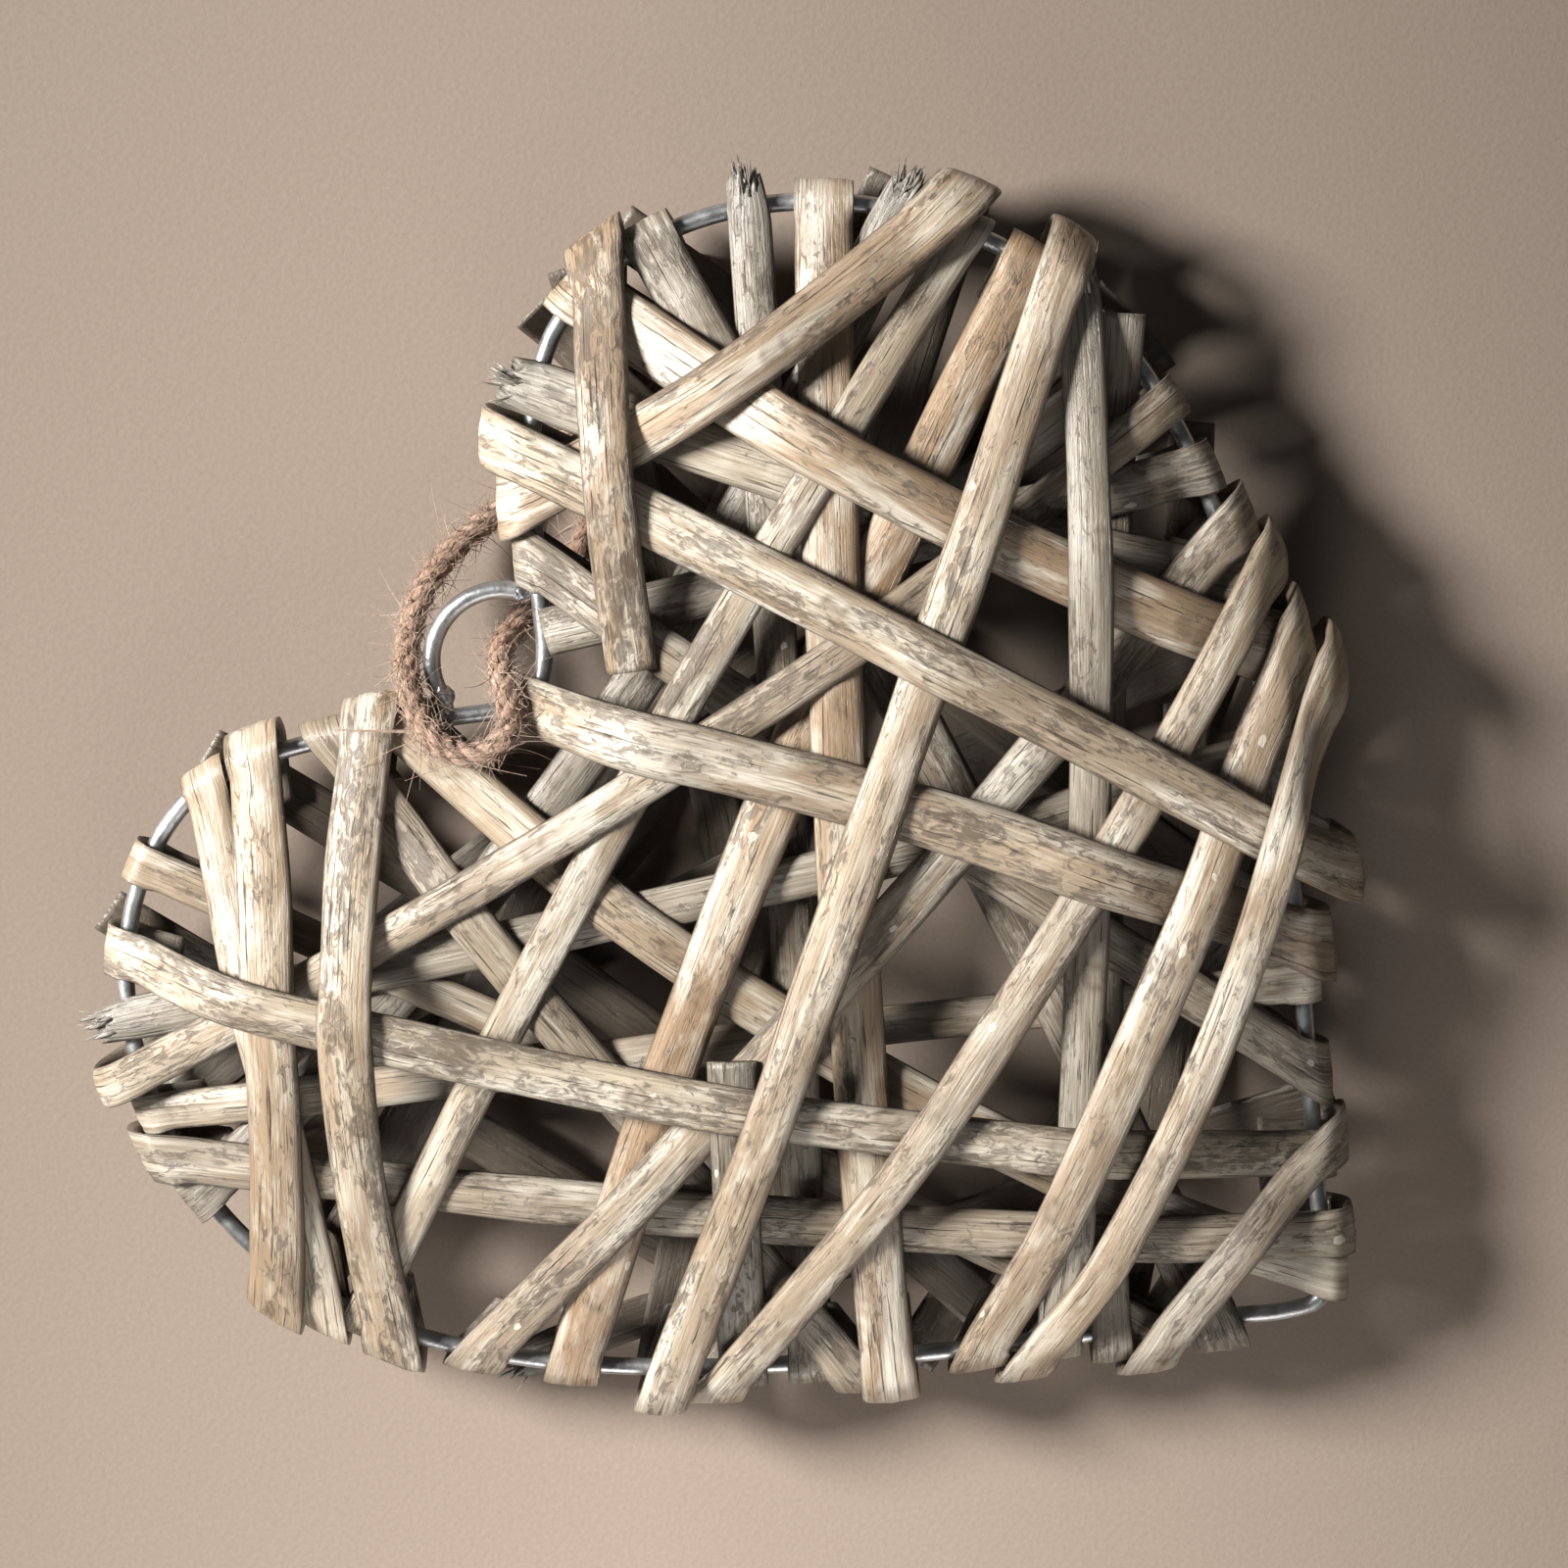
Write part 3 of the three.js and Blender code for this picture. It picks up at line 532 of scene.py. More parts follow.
def add_sliver(body, layer, traits, sliver, trait_layers):
    start, aim, length, thick = sliver
    side = aim.orthogonal().normalized()
    other = aim.cross(side)
    rows = []
    for share, size in ((0.0, 0.8), (0.45, 1.0), (0.75, 0.7), (1.0, 0.2)):
        bend = side * (share * share * length * 0.10)
        row = []
        for k in range(4):
            angle = math.tau * k / 4
            wide = side * math.cos(angle) * thick + other * math.sin(angle) * thick * 0.45
            place = start + aim * (length * share) + bend + wide * size
            place.z = max(place.z, LOWEST)
            row.append(body.verts.new(place))
        rows.append(row)
    for row in rows:
        for corner in row:
            for key, value in traits.items():
                corner[trait_layers[key]] = value
    for low, high in zip(rows, rows[1:]):
        for k in range(4):
            face = body.faces.new((low[k], low[(k + 1) % 4], high[(k + 1) % 4], high[k]))
            for loop in face.loops:
                place = loop.vert.co
                loop[layer].uv = (place.dot(side), place.dot(aim))
    body.faces.new(rows[0][::-1])
    body.faces.new(rows[-1])


print("splinters on a torn end:", BROAD_SPLINTERS + THIN_SPLINTERS)

# %% [markdown]
# ## Building the strips
#
# The rings become a closed mesh. Each point also keeps what the finish needs to know: how far it is
# from the strip's edge, which also sets the painted shade on its sides and underside, how grey and how
# stained this rod is, and whether it is near a torn end.

# %% Looks of the single strips
# warm: golden to orange wood, grey: how weathered, stain: dark mottling, torn: ends that are frayed
PLAIN = {"warm": 0.45, "grey": 0.25, "stain": 0.45, "torn": ()}
LOOKS = {
    1: {"grey": 0.85, "stain": 0.7, "torn": ("start",)},
    2: {"grey": 0.35, "warm": 0.6, "stain": 0.3},
    3: {"grey": 0.35, "warm": 0.45, "stain": 0.45},
    4: {"grey": 0.8, "stain": 0.8, "torn": ("start",)},
    5: {"grey": 0.8, "stain": 0.9, "torn": ("finish",)},
    6: {"grey": 0.75, "warm": 0.6, "stain": 0.7, "torn": ("start",)},
    7: {"grey": 0.7, "stain": 0.95},
    8: {"grey": 0.6, "warm": 0.55, "stain": 0.7},
    9: {"grey": 0.65, "warm": 0.2, "stain": 0.5, "torn": ("start",)},
    10: {"grey": 0.5, "warm": 0.4, "stain": 0.6},
    11: {"grey": 0.2, "warm": 0.5, "stain": 0.35},
    12: {"grey": 0.4, "warm": 0.15, "stain": 0.3, "torn": ("start",)},
    13: {"grey": 0.55, "warm": 0.5, "stain": 0.75},
    14: {"grey": 0.1, "warm": 1.0, "stain": 0.35},
    15: {"grey": 0.1, "warm": 0.8, "stain": 0.3},
    16: {"grey": 0.35, "warm": 0.5, "stain": 0.75},
    17: {"grey": 0.2, "warm": 0.3, "stain": 0.55},
    18: {"grey": 0.3, "warm": 0.45, "stain": 0.65},
    19: {"grey": 0.15, "warm": 0.6, "stain": 0.4},
    20: {"grey": 0.15, "warm": 0.65, "stain": 0.45},
    21: {"grey": 0.1, "warm": 0.8, "stain": 0.4},
    22: {"grey": 0.65, "warm": 0.1, "stain": 0.35, "torn": ("start",)},
    23: {"grey": 0.15, "warm": 0.75, "stain": 0.55},
    24: {"grey": 0.85, "stain": 0.75},
    25: {"grey": 0.2, "warm": 0.15, "stain": 0.95},
    26: {"grey": 0.1, "warm": 0.45, "stain": 0.5},
    27: {"grey": 0.35, "warm": 0.7, "stain": 0.75},
    28: {"grey": 0.05, "warm": 0.6, "stain": 0.35},
    29: {"grey": 0.05, "warm": 0.55, "stain": 0.5},
    30: {"grey": 0.1, "warm": 0.4, "stain": 0.75},
    31: {"grey": 0.05, "warm": 0.6, "stain": 0.4},
    32: {"grey": 0.15, "warm": 0.75, "stain": 1.1},
    33: {"grey": 0.15, "warm": 0.55, "stain": 0.85},
    34: {"grey": 0.55, "warm": 0.55, "stain": 0.6},
}


def look_of(name):
    number = int(name[-2:])
    if name in FRONT:
        return {**PLAIN, **LOOKS[number]}
    # The back strips are given random looks, greyer and so darker than most of the front strips.
    rng = random.Random(number + 100)
    return {
        "warm": rng.uniform(0.3, 0.6), "grey": rng.uniform(0.5, 0.85), "stain": rng.uniform(0.4, 0.8),
        "torn": ("start",) if number % 3 == 0 else (),
    }


print("strips with a torn end:", sum(bool(look_of(name)["torn"]) for name in FRONT + BACK))

# %% Build a strip
TRAITS = ("warm", "grey", "stain", "edge", "torn", "knot")


def build_strip(name, seed):
    look = look_of(name)
    rings = strip_points(ways[name], seed)
    slivers = []
    if "start" in look["torn"]:
        rings = ragged(rings[::-1], TEAR_DEPTH, seed + 5)
        slivers += splinters(rings, seed + 6)
        rings = rings[::-1]
    if "finish" in look["torn"]:
        rings = ragged(rings, TEAR_DEPTH, seed + 7)
        slivers += splinters(rings, seed + 8)
    length = ways[name][-1]["along"]
    body = bmesh.new()
    uv_layer = body.loops.layers.uv.new("grain")
    layers = {key: body.verts.layers.float.new(key) for key in TRAITS}
    count = len(SECTION)
    rows = []
    for ring in rings:
        row = []
        for point, u, h, v, knotty in ring:
            corner = body.verts.new((point.x, point.y, max(point.z, LOWEST)))
            near = 0.0
            if "start" in look["torn"]:
                near = max(near, 1 - v / TORN_REACH)
            if "finish" in look["torn"]:
                near = max(near, 1 - (length - v) / TORN_REACH)
            for key in ("warm", "grey", "stain"):
                corner[layers[key]] = look[key]
            corner[layers["edge"]] = 1 - h if h > 0.1 else 1.0
            corner[layers["torn"]] = max(0.0, min(1.0, near))
            corner[layers["knot"]] = knotty
            row.append(corner)
        rows.append(row)
    width = ways[name][0]["across"].length
    for i in range(len(rows) - 1):
        for j in range(count):
            k = (j + 1) % count
            face = body.faces.new((rows[i][j], rows[i][k], rows[i + 1][k], rows[i + 1][j]))
            for loop, (row, column) in zip(face.loops, ((i, j), (i, j + 1), (i + 1, j + 1), (i + 1, j))):
                v = rings[row][column % count][3]
                loop[uv_layer].uv = (column / count * width * 2.4 + seed * 0.731, v + seed * 1.37)
    for row, turned in ((rows[0], True), (rows[-1], False)):
        centre = body.verts.new(sum((corner.co for corner in row), Vector()) / count)
        for key, layer in layers.items():
            centre[layer] = row[0][layer]
        for j in range(count):
            pair = (row[j], row[(j + 1) % count])
            face = body.faces.new((centre, *pair) if not turned else (centre, *pair[::-1]))
            for loop in face.loops:
                loop[uv_layer].uv = (loop.vert.co.x * 3, loop.vert.co.y * 3)
    traits = {key: look[key] for key in ("warm", "grey", "stain")}
    traits.update(edge=0.4, torn=1.0, knot=0.0)
    for sliver in slivers:
        add_sliver(body, uv_layer, traits, sliver, layers)
    bmesh.ops.recalc_face_normals(body, faces=body.faces)
    mesh = bpy.data.meshes.new(name.replace("willow_strip", "willow_rod"))
    body.to_mesh(mesh)
    body.free()
    mesh.shade_smooth()
    piece = bpy.data.objects.new(mesh.name, mesh)
    bpy.context.scene.collection.objects.link(piece)
    return piece


print("values kept at each point:", ", ".join(TRAITS))

# %% [markdown]
# ## Weathered willow
#
# The bark has been peeled off and the wood has dried outdoors: cream to tan, with grey where it is old,
# brown mottling where damp sat, thin dark cracks along the grain and small dark knots. A photograph of
# wood could be wrapped round the rods, but it would repeat. Noise that is stretched along each rod
# gives every one its own grain, and the values kept in the mesh set how warm, grey or stained it is.

# %% Willow material
def willow_material():
    material, tree, shader = new_material("weathered_willow")
    link = tree.links.new
    grain_place = add_node(tree, "ShaderNodeUVMap", uv_map="grain").outputs["UV"]
    trait = {key: add_node(tree, "ShaderNodeAttribute", attribute_name=key).outputs["Fac"] for key in TRAITS}

    def stretched(across, along, detail, kind="ShaderNodeTexNoise", **more):
        mapping = add_node(tree, "ShaderNodeMapping", Scale=(across, along, 1.0))
        link(grain_place, mapping.inputs["Vector"])
        made = add_node(tree, kind, Scale=1.0, **more)
        if "Detail" in made.inputs:
            made.inputs["Detail"].default_value = detail
        link(mapping.outputs["Vector"], made.inputs["Vector"])
        return made

    def calc(operation, first, second, clamp=False):
        made = tree.nodes.new("ShaderNodeMath")
        made.operation = operation
        made.use_clamp = clamp
        for socket, value in zip(made.inputs, (first, second)):
            if isinstance(value, bpy.types.NodeSocket):
                link(value, socket)
            else:
                socket.default_value = value
        return made.outputs[0]

    broad = stretched(70, 14, 3).outputs["Fac"]
    fibres = stretched(1700, 45, 5, Roughness=0.7).outputs["Fac"]
    lines = stretched(1300, 45, 3, Roughness=0.6, Distortion=0.3).outputs["Fac"]
    mottle = stretched(560, 230, 8, Roughness=0.72, Distortion=0.9).outputs["Fac"]
    patches = stretched(150, 30, 4, Roughness=0.65).outputs["Fac"]
    parts = add_node(tree, "ShaderNodeSeparateColor")
    link(stretched(120, 27, 4, Roughness=0.66, Distortion=0.6).outputs["Color"], parts.inputs["Color"])
    bleached = parts.outputs["Green"]

    pale = mixed(tree, trait["warm"], (0.47, 0.415, 0.325), (0.43, 0.30, 0.185))
    deep = mixed(tree, trait["warm"], (0.245, 0.20, 0.145), (0.24, 0.15, 0.085))
    wood = mixed(tree, ramp(tree, broad, [(0.3, 0.0), (0.7, 1.0)]), pale, deep)
    bleach = calc("MULTIPLY", ramp(tree, bleached, [(0.46, 0.0), (0.66, 1.0)]), 0.72)
    wood = mixed(tree, bleach, wood, (0.82, 0.78, 0.68))
    silvery = ramp(tree, fibres, [(0.3, 0.0), (0.75, 1.0)])
    greyed = mixed(tree, silvery, (0.115, 0.100, 0.080), (0.35, 0.325, 0.272))
    old = calc("MULTIPLY_ADD", trait["grey"], 1.5, True)
    patchy = calc("ADD", calc("SUBTRACT", patches, 0.8), calc("MULTIPLY", trait["edge"], 0.35))
    link(patchy, old.node.inputs[2])
    wood = mixed(tree, old, wood, greyed)
    streaks = calc("MULTIPLY", ramp(tree, fibres, [(0.36, 1.0), (0.60, 0.0)]), 0.55)
    wood = mixed(tree, streaks, wood, (0.13, 0.092, 0.058))
    spread = calc("ADD", mottle, calc("MULTIPLY", calc("SUBTRACT", trait["stain"], 0.55), 0.16))
    spread = calc("ADD", spread, calc("MULTIPLY", calc("SUBTRACT", patches, 0.5), 0.8))
    dark = ramp(tree, spread, [(0.55, 0.0), (0.64, 0.75), (0.74, 1.0)])
    wood = mixed(tree, calc("MULTIPLY", dark, 0.85), wood, (0.064, 0.044, 0.028))
    crack = ramp(tree, lines, [(0.31, 1.0), (0.39, 0.0)])
    wood = mixed(tree, calc("MULTIPLY", crack, 0.8), wood, (0.04, 0.027, 0.017))
    wood = mixed(tree, calc("MULTIPLY", trait["knot"], 0.7), wood, (0.10, 0.065, 0.038))
    spots = stretched(170, 120, 0, "ShaderNodeTexVoronoi")
    choice = add_node(tree, "ShaderNodeSeparateColor")
    link(spots.outputs["Color"], choice.inputs["Color"])
    size = calc("ADD", spots.outputs["Distance"], calc("MULTIPLY", mottle, 0.25))
    chosen = calc("GREATER_THAN", choice.outputs["Red"], 0.945)
    spot = calc("MULTIPLY", calc("LESS_THAN", size, 0.28), chosen)
    wood = mixed(tree, calc("MULTIPLY", spot, 0.6), wood, (0.74, 0.70, 0.61))
    # painted shade: each strip darkens towards its underside along its sides, and the underside itself is
    # dark
    painted_underside_shade = ramp(tree, trait["edge"], [(0.28, 0.0), (1.0, 1.0)])
    wood = mixed(tree, calc("MULTIPLY", painted_underside_shade, 0.78), wood, (0.075, 0.055, 0.038))
    frayed = ramp(tree, fibres, [(0.35, 0.0), (0.7, 1.0)])
    tuft = mixed(tree, frayed, (0.045, 0.038, 0.031), (0.40, 0.37, 0.32))
    wood = mixed(tree, calc("MULTIPLY", trait["torn"], 0.9), wood, tuft)
    link(wood, shader.inputs["Base Color"])

    worn = calc("ADD", calc("MULTIPLY", dark, 0.25), calc("MULTIPLY", fibres, 0.4))
    link(ramp(tree, worn, [(0.0, 0.24), (0.6, 0.56)]), shader.inputs["Roughness"])
    shader.inputs["Specular IOR Level"].default_value = 0.75
    height = calc("ADD", calc("MULTIPLY", fibres, 0.5), calc("MULTIPLY", crack, -0.8))
    height = calc("ADD", height, calc("MULTIPLY", dark, -0.3))
    height = calc("ADD", height, calc("MULTIPLY", mottle, 0.4))
    bumped(tree, shader, height, 0.0006, 0.75)
    return material


willow = willow_material()
for index, name in enumerate(FRONT + BACK):
    strip = build_strip(name, index + 1)
    strip.data.materials.append(willow)
    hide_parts(name)
    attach(strip, "root")
print("willow strips made:", len(FRONT + BACK))

# %% [markdown]
# ## Galvanised wire
#
# The frame and the eye are round, zinc-coated wire: pale grey, with soft cloudy patches and a dull
# shine. A curve with a round bevel would do, but the wire must stay where the strips hold it, so the
# rings of its solids are read back too and swept again with more sides. A lump of weld closes the eye.

# %% Wire
WIRE_RADIUS = 1.8 * MM


def centres_of(node, sides):
    return [sum(ring, Vector()) / len(ring) for ring in sections_of(node, sides)]


def smooth_line(points, step):
    padded = [points[0] * 2 - points[1]] + points + [points[-1] * 2 - points[-2]]
    line = []
    for i in range(len(points) - 1):
        a, b, c, d = padded[i:i + 4]
        parts = max(1, math.ceil((c - b).length / step))
        line += [smooth_between(a, b, c, d, k / parts) for k in range(parts)]
    return line + [points[-1]]


def carried_frames(line):
    """Directions across a line that turn as little as possible along it."""
    ways = [(line[min(i + 1, len(line) - 1)] - line[max(i - 1, 0)]).normalized() for i in range(len(line))]
    side = ways[0].orthogonal().normalized()
    frames = []
    for way in ways:
        side = (side - way * side.dot(way)).normalized()
        frames.append((way, side, way.cross(side)))
    return frames


def swept(name, line, sides, radius_at, groove_at=lambda along, angle: 0.0):
    """A closed tube along a line. radius_at gives the radius from the place along it and the angle."""
    frames = carried_frames(line)
    body = bmesh.new()
    uv_layer = body.loops.layers.uv.new("grain")
    groove = body.verts.layers.float.new("groove")
    along, rows, reached = 0.0, [], []
    for i, (point, (way, side, other)) in enumerate(zip(line, frames)):
        along += (point - line[i - 1]).length if i else 0.0
        reached.append(along)
        row = []
        for k in range(sides):
            angle = math.tau * k / sides
            radius = radius_at(along, angle)
            place = point + (side * math.cos(angle) + other * math.sin(angle)) * radius
            place.z = max(place.z, LOWEST)
            row.append(body.verts.new(place))
            row[-1][groove] = groove_at(along, angle)
        rows.append(row)
    for i in range(len(rows) - 1):
        for k in range(sides):
            n = (k + 1) % sides
            face = body.faces.new((rows[i][k], rows[i][n], rows[i + 1][n], rows[i + 1][k]))
            for loop, (row, column) in zip(face.loops, ((i, k), (i, k + 1), (i + 1, k + 1), (i + 1, k))):
                loop[uv_layer].uv = (column / sides, reached[row])
    body.faces.new(rows[0][::-1])
    body.faces.new(rows[-1])
    bmesh.ops.recalc_face_normals(body, faces=body.faces)
    mesh = bpy.data.meshes.new(name)
    body.to_mesh(mesh)
    body.free()
    mesh.shade_smooth()
    piece = bpy.data.objects.new(name, mesh)
    bpy.context.scene.collection.objects.link(piece)
    return piece


def wire_material():
    material, tree, shader = new_material("galvanised_wire")
    places = tree.nodes.new("ShaderNodeTexCoord").outputs["Object"]
    clouds = add_node(tree, "ShaderNodeTexNoise", Scale=160.0, Detail=5.0, Roughness=0.6)
    specks = add_node(tree, "ShaderNodeTexNoise", Scale=1400.0, Detail=3.0)
    for made in (clouds, specks):
        tree.links.new(places, made.inputs["Vector"])
    colour = ramp(tree, clouds.outputs["Fac"], [(0.3, (0.33, 0.34, 0.35)), (0.7, (0.60, 0.61, 0.62))])
    worn = ramp(tree, specks.outputs["Fac"], [(0.62, 0.0), (0.72, 0.6)])
    tree.links.new(mixed(tree, worn, colour, (0.16, 0.15, 0.14)), shader.inputs["Base Color"])
    tree.links.new(ramp(tree, clouds.outputs["Fac"], [(0.3, 0.28), (0.7, 0.48)]), shader.inputs["Roughness"])
    shader.inputs["Metallic"].default_value = 0.9
    bumped(tree, shader, specks.outputs["Fac"], 0.0001, 0.5)
    return material


galvanised = wire_material()
wire_line = smooth_line(centres_of("wire_heart", 8), 2.0 * MM)
eye_line = smooth_line(centres_of("wire_eye", 8), 1.0 * MM)
heart_wire = swept("heart_wire", wire_line, 18, lambda v, a: WIRE_RADIUS)
eye_wire = swept("eye_wire", eye_line, 18, lambda v, a: WIRE_RADIUS * (1 + 0.02 * uneven(v * 300, a, 3.0)))
for piece, node in ((heart_wire, "wire_heart"), (eye_wire, "wire_eye")):
    piece.data.materials.append(galvanised)
    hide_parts(node)
    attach(piece, "root")
print("wire:", len(wire_line), "and", len(eye_line), "sections")

# %% [markdown]
# A weld is a small lump where an end of the eye meets the heart's wire. Spheres are stretched, joined,
# remeshed to one skin and pushed in and out by noise in a displace modifier, as a bead of metal has no
# flat side.

# %% Weld
def add_weld(name, place, lumps, seed):
    """Several overlapping lumps, joined to one mesh. lumps: offset and size of each, in millimetres."""
    rng = random.Random(seed)
    bpy.ops.object.select_all(action="DESELECT")
    beads = []
    for offset, size in lumps:
        bpy.ops.mesh.primitive_ico_sphere_add(subdivisions=4, radius=1.0, location=(0, 0, 0))
        bead = bpy.context.object
        bpy.ops.object.mode_set(mode="EDIT")
        bpy.ops.mesh.select_all(action="SELECT")
        bpy.ops.transform.resize(value=[part * MM for part in size])
        bpy.ops.transform.translate(value=[place[i] + offset[i] * MM for i in range(3)])
        bpy.ops.object.mode_set(mode="OBJECT")
        beads.append(bead)
    for bead in beads:
        bead.select_set(True)
    bpy.context.view_layer.objects.active = beads[0]
    bpy.ops.object.join()
    weld = bpy.context.object
    weld.name = name
    merge = weld.modifiers.new("merge", "REMESH")
    merge.mode = "VOXEL"
    merge.voxel_size = 0.25 * MM
    bpy.ops.object.modifier_apply(modifier="merge")
    rough = bpy.data.textures.new(name + "_lumps", "CLOUDS")
    rough.noise_scale = 1.6 * MM
    lumpy = weld.modifiers.new("lumpy", "DISPLACE")
    lumpy.texture = rough
    lumpy.texture_coords = "LOCAL"
    lumpy.strength = rng.uniform(0.8, 1.0) * MM
    bpy.ops.object.modifier_apply(modifier="lumpy")
    bpy.ops.object.shade_smooth()
    weld.data.materials.append(galvanised)
    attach(weld, "root")


eye_end = eye_line[-1] if eye_line[-1].x < eye_line[0].x else eye_line[0]
other_end = eye_line[0] if eye_end is eye_line[-1] else eye_line[-1]
BIG_WELD = (
    ((0, 0.2, 0), (2.7, 2.4, 2.2)),
    ((0.9, 1.5, 0.5), (1.7, 1.5, 1.5)),
    ((-1.1, -1.2, 0.4), (1.8, 1.9, 1.6)),
)
SMALL_WELD = (((0, 0, 0), (1.9, 1.9, 1.8)), ((0.6, -0.9, 0), (1.6, 1.5, 1.4)))
add_weld("eye_weld_left", eye_end, BIG_WELD, 1)
add_weld("eye_weld_right", other_end, SMALL_WELD, 2)
print("weld at", [round(v, 4) for v in eye_end])

# %% [markdown]
# ## Jute twine
#
# Three plies of brown jute are twisted into a cord not quite five millimetres thick, limp and very
# hairy. It goes from its knot, out to the eye, over the wire, and back to the knot. A plain tube would
# look like plastic. The tube here has a three-lobed section that turns as it goes, and thousands of
# thin bent fibres stand out of it.

# %% Twine
TWINE_DIAMETER = 4.6 * MM
TWINE_TURN = 12.5 * MM
TWINE_ROUTE = [
    (0.06353, 0.10605, 0.00550), (0.05403, 0.10575, 0.00260), (0.04403, 0.10525, 0.00260),
    (0.03403, 0.10525, 0.00260), (0.02503, 0.10625, 0.00405), (0.01703, 0.10825, 0.00795),
    (0.00903, 0.10985, 0.01175), (0.00103, 0.10965, 0.01535), (-0.00637, 0.10725, 0.01935),
    (-0.01257, 0.10305, 0.02395), (-0.01697, 0.09765, 0.02895), (-0.01927, 0.09125, 0.03275),
    (-0.01877, 0.08485, 0.03415), (-0.01477, 0.08025, 0.03445), (-0.00897, 0.07945, 0.03395),
    (-0.00457, 0.08285, 0.03175), (-0.00157, 0.08745, 0.02735), (0.00243, 0.09025, 0.02235),
    (0.00703, 0.09045, 0.01755), (0.01203, 0.08905, 0.01275), (0.01763, 0.08825, 0.00835),
    (0.02553, 0.08945, 0.00415), (0.03503, 0.09305, 0.00260), (0.04503, 0.09685, 0.00260),
    (0.05503, 0.10005, 0.00260), (0.06353, 0.10105, 0.00550),
]


def groove_depth(along, angle, turn, phase):
    """0 on the back of a ply, 1 in the groove between two of the three."""
    return 1 - abs(math.cos(1.5 * (angle - math.tau * along / turn - phase))) ** 0.7


def twisted(radius, turn, phase=0.0):
    """Radius of a three-ply cord, from the place along it and the angle round it."""
    def at(along, angle):
        hair = 0.06 * uneven(along * 900, angle * 3, phase)
        return radius * (1.02 - 0.34 * groove_depth(along, angle, turn, phase) + hair)
    return at


def jute_material(name, painted_groove_shade, dark, middle, pale):
    material, tree, shader = new_material(name)
    link = tree.links.new
    places = add_node(tree, "ShaderNodeUVMap", uv_map="grain").outputs["UV"]
    mapping = add_node(tree, "ShaderNodeMapping", Scale=(26.0, 700.0, 1.0))
    link(places, mapping.inputs["Vector"])
    strands = add_node(tree, "ShaderNodeTexNoise", Scale=1.0, Detail=5.0, Roughness=0.7, Distortion=0.4)
    link(mapping.outputs["Vector"], strands.inputs["Vector"])
    wide = add_node(tree, "ShaderNodeTexNoise", Scale=90.0, Detail=2.0)
    link(tree.nodes.new("ShaderNodeTexCoord").outputs["Object"], wide.inputs["Vector"])
    colour = ramp(tree, strands.outputs["Fac"], [(0.25, dark), (0.5, middle), (0.78, pale)])
    warm = ramp(tree, wide.outputs["Fac"], [(0.35, (0.80, 0.74, 0.70)), (0.65, (1.0, 1.0, 1.0))])
    colour = mixed(tree, 1.0, colour, warm, "MULTIPLY")
    if painted_groove_shade:
        # painted shade: the grooves between the three plies are darkened
        groove = add_node(tree, "ShaderNodeAttribute", attribute_name="groove").outputs["Fac"]
        colour = mixed(tree, ramp(tree, groove, [(0.35, 0.0), (0.95, 0.85)]), colour, (0.09, 0.045, 0.024))
    link(colour, shader.inputs["Base Color"])
    shader.inputs["Roughness"].default_value = 0.9
    shader.inputs["Specular IOR Level"].default_value = 0.25
    bumped(tree, shader, strands.outputs["Fac"], 0.0006, 1.0)
    return material


jute = jute_material("twisted_jute", True, (0.14, 0.085, 0.06), (0.36, 0.245, 0.185), (0.68, 0.55, 0.46))
loose_jute = jute_material("loose_jute", False, (0.32, 0.21, 0.15), (0.60, 0.46, 0.37), (0.90, 0.80, 0.70))
twine_line = smooth_line([Vector(point) for point in TWINE_ROUTE], 0.7 * MM)
twine_length = sum((b - a).length for a, b in zip(twine_line, twine_line[1:]))
twine = swept(
    "jute_cord", twine_line, 24, twisted(TWINE_DIAMETER / 2 * 1.12, TWINE_TURN),
    lambda along, angle: groove_depth(along, angle, TWINE_TURN, 0.0),
)
twine.data.materials.append(jute)
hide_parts("jute_twine")
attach(twine, "root")
print("twine:", round(twine_length * 1000), "mm")

# %% [markdown]
# The knot is the cord wound tightly round itself, with a short end. It is made the same way, from a line
# that winds round the two strands.

# %% Knot
knot_low, knot_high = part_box("twine_knot")
KNOT_MIDDLE = (Vector(knot_low) + Vector(knot_high)) / 2
KNOT_LENGTH = knot_high[0] - knot_low[0]
KNOT_TURNS = 2.6
KNOT_REACH = 0.0029
KNOT_STEPS = 45
TAIL_STEPS = 8
CORD_ON_PAPER = 0.0026


def knot_line():
    points = []
    for i in range(KNOT_STEPS + 1):
        share = i / KNOT_STEPS
        angle = math.tau * KNOT_TURNS * share
        x = knot_low[0] + 0.0026 + (KNOT_LENGTH - 0.0052) * share
        y = KNOT_MIDDLE.y + KNOT_REACH * math.cos(angle)
        z = KNOT_MIDDLE.z + KNOT_REACH * math.sin(angle)
        points.append(Vector((x, y, z)))
    tail = points[-1]
    for i in range(1, TAIL_STEPS + 1):
        sag = max(CORD_ON_PAPER, tail.z - 0.0006 * i * i)
        points.append(Vector((tail.x + 0.0016 * i, tail.y + 0.0006 * i, sag)))
    return points


knot = swept(
    "cord_knot", smooth_line(knot_line(), 0.7 * MM), 24, twisted(TWINE_DIAMETER / 2, TWINE_TURN, 0.8),
    lambda along, angle: groove_depth(along, angle, TWINE_TURN, 0.8),
)
knot.data.materials.append(jute)
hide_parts("twine_knot")
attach(knot, "root")
print("knot:", round(KNOT_LENGTH * 1000, 1), "mm long")

# %% [markdown]
# Loose fibres are what makes jute look like jute. Each is a very thin three-sided sliver that leaves
# the cord at a slant and curls away. They are all one mesh, because they are one kind of thing.

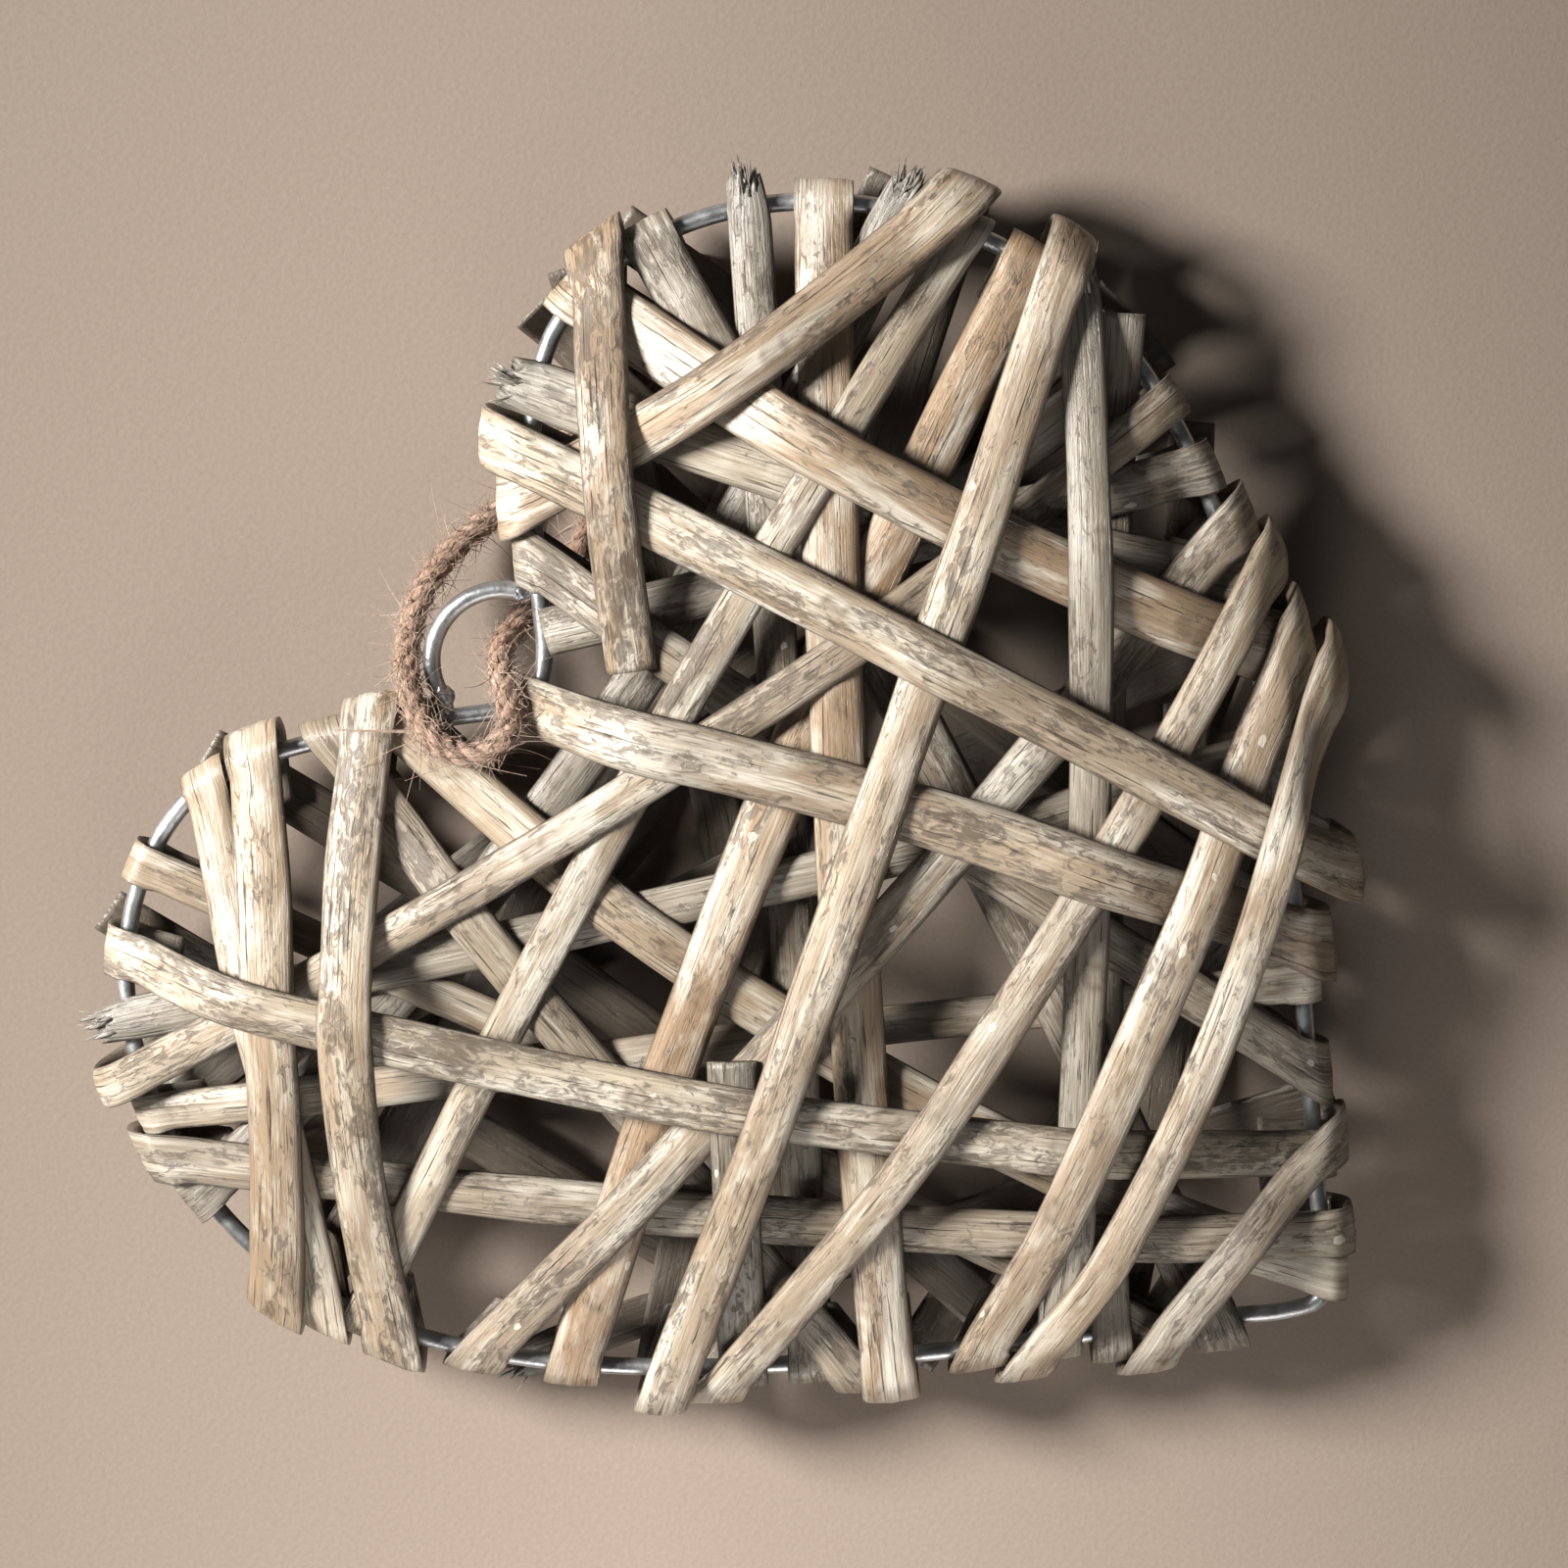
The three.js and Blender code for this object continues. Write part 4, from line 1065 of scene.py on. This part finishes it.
# %% Fibres
def add_fibre(body, uv_layer, start, aim, curl, length, thick):
    side = aim.orthogonal().normalized()
    other = aim.cross(side)
    rows = []
    for k in range(7):
        share = k / 6
        place = start + aim * (length * share) + curl * (length * share * share)
        place.z = max(place.z, LOWEST + 2 * thick)
        row = []
        for corner in range(3):
            turn = math.tau * corner / 3
            wide = (side * math.cos(turn) + other * math.sin(turn)) * thick * (1 - 0.7 * share)
            row.append(body.verts.new(place + wide))
        rows.append(row)
    for low, high in zip(rows, rows[1:]):
        for corner in range(3):
            after = (corner + 1) % 3
            face = body.faces.new((low[corner], low[after], high[after], high[corner]))
            for loop in face.loops:
                loop[uv_layer].uv = (start.x * 900, loop.vert.co.y * 20)
    body.faces.new(rows[0][::-1])
    body.faces.new(rows[-1])


def fibre_mesh(name, line, kinds, strays, seed):
    """kinds: count, shortest, longest, thickness and how far out. strays: single long fibres."""
    rng = random.Random(seed)
    frames = carried_frames(line)
    body = bmesh.new()
    uv_layer = body.loops.layers.uv.new("grain")
    for count, shortest, longest, thick, outward in kinds:
        for _ in range(count):
            i = rng.randrange(3, len(line) - 3)
            way, side, other = frames[i]
            angle = rng.uniform(0, math.tau)
            out = side * math.cos(angle) + other * math.sin(angle)
            start = line[i] + out * (TWINE_DIAMETER / 2 * 0.8)
            aim = out * rng.uniform(0.4, 1.0) * outward
            aim = (aim + way * rng.choice((-1, 1)) * rng.uniform(0.3, 1.2)).normalized()
            curl = Vector((rng.uniform(-1, 1), rng.uniform(-1, 1), rng.uniform(-0.8, 0.8))) * 0.6 * outward
            length = rng.uniform(shortest, longest)
            add_fibre(body, uv_layer, start, aim, curl, length, thick * rng.uniform(0.7, 1.2))
    for start, aim, curl, length, thick in strays:
        add_fibre(body, uv_layer, Vector(start), Vector(aim).normalized(), Vector(curl), length, thick)
    bmesh.ops.recalc_face_normals(body, faces=body.faces)
    mesh = bpy.data.meshes.new(name)
    body.to_mesh(mesh)
    body.free()
    piece = bpy.data.objects.new(name, mesh)
    bpy.context.scene.collection.objects.link(piece)
    return piece


FIBRE_KINDS = (
    (2400, 1.4 * MM, 4.2 * MM, 0.11 * MM, 0.8),
    (1300, 2.5 * MM, 6.0 * MM, 0.13 * MM, 0.22),
    (620, 3.5 * MM, 10.0 * MM, 0.12 * MM, 1.0),
)
# where each one starts, its direction, how it curls, its length and its thickness
STRAYS = (
    ((-0.0195, 0.0925, 0.0330), (-0.62, 0.78, 0.02), (0.02, 0.03, 0.05), 17.0 * MM, 0.42 * MM),
    ((-0.0192, 0.0905, 0.0325), (-0.75, 0.60, 0.10), (-0.1, -0.25, -0.1), 24.0 * MM, 0.13 * MM),
    ((-0.0150, 0.0800, 0.0340), (-0.50, -0.60, 0.20), (0.3, -0.1, -0.1), 14.0 * MM, 0.13 * MM),
    ((-0.0090, 0.0790, 0.0345), (0.40, -0.70, 0.30), (0.2, -0.1, -0.2), 9.0 * MM, 0.12 * MM),
)
fibres = fibre_mesh("cord_fibres", twine_line, FIBRE_KINDS, STRAYS, 77)
fibres.data.materials.append(loose_jute)
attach(fibres, "root")
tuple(TWINE_ROUTE[0])
[tuple(point) for point in twine_line]
print("fibres:", sum(kind[0] for kind in FIBRE_KINDS) + len(STRAYS))
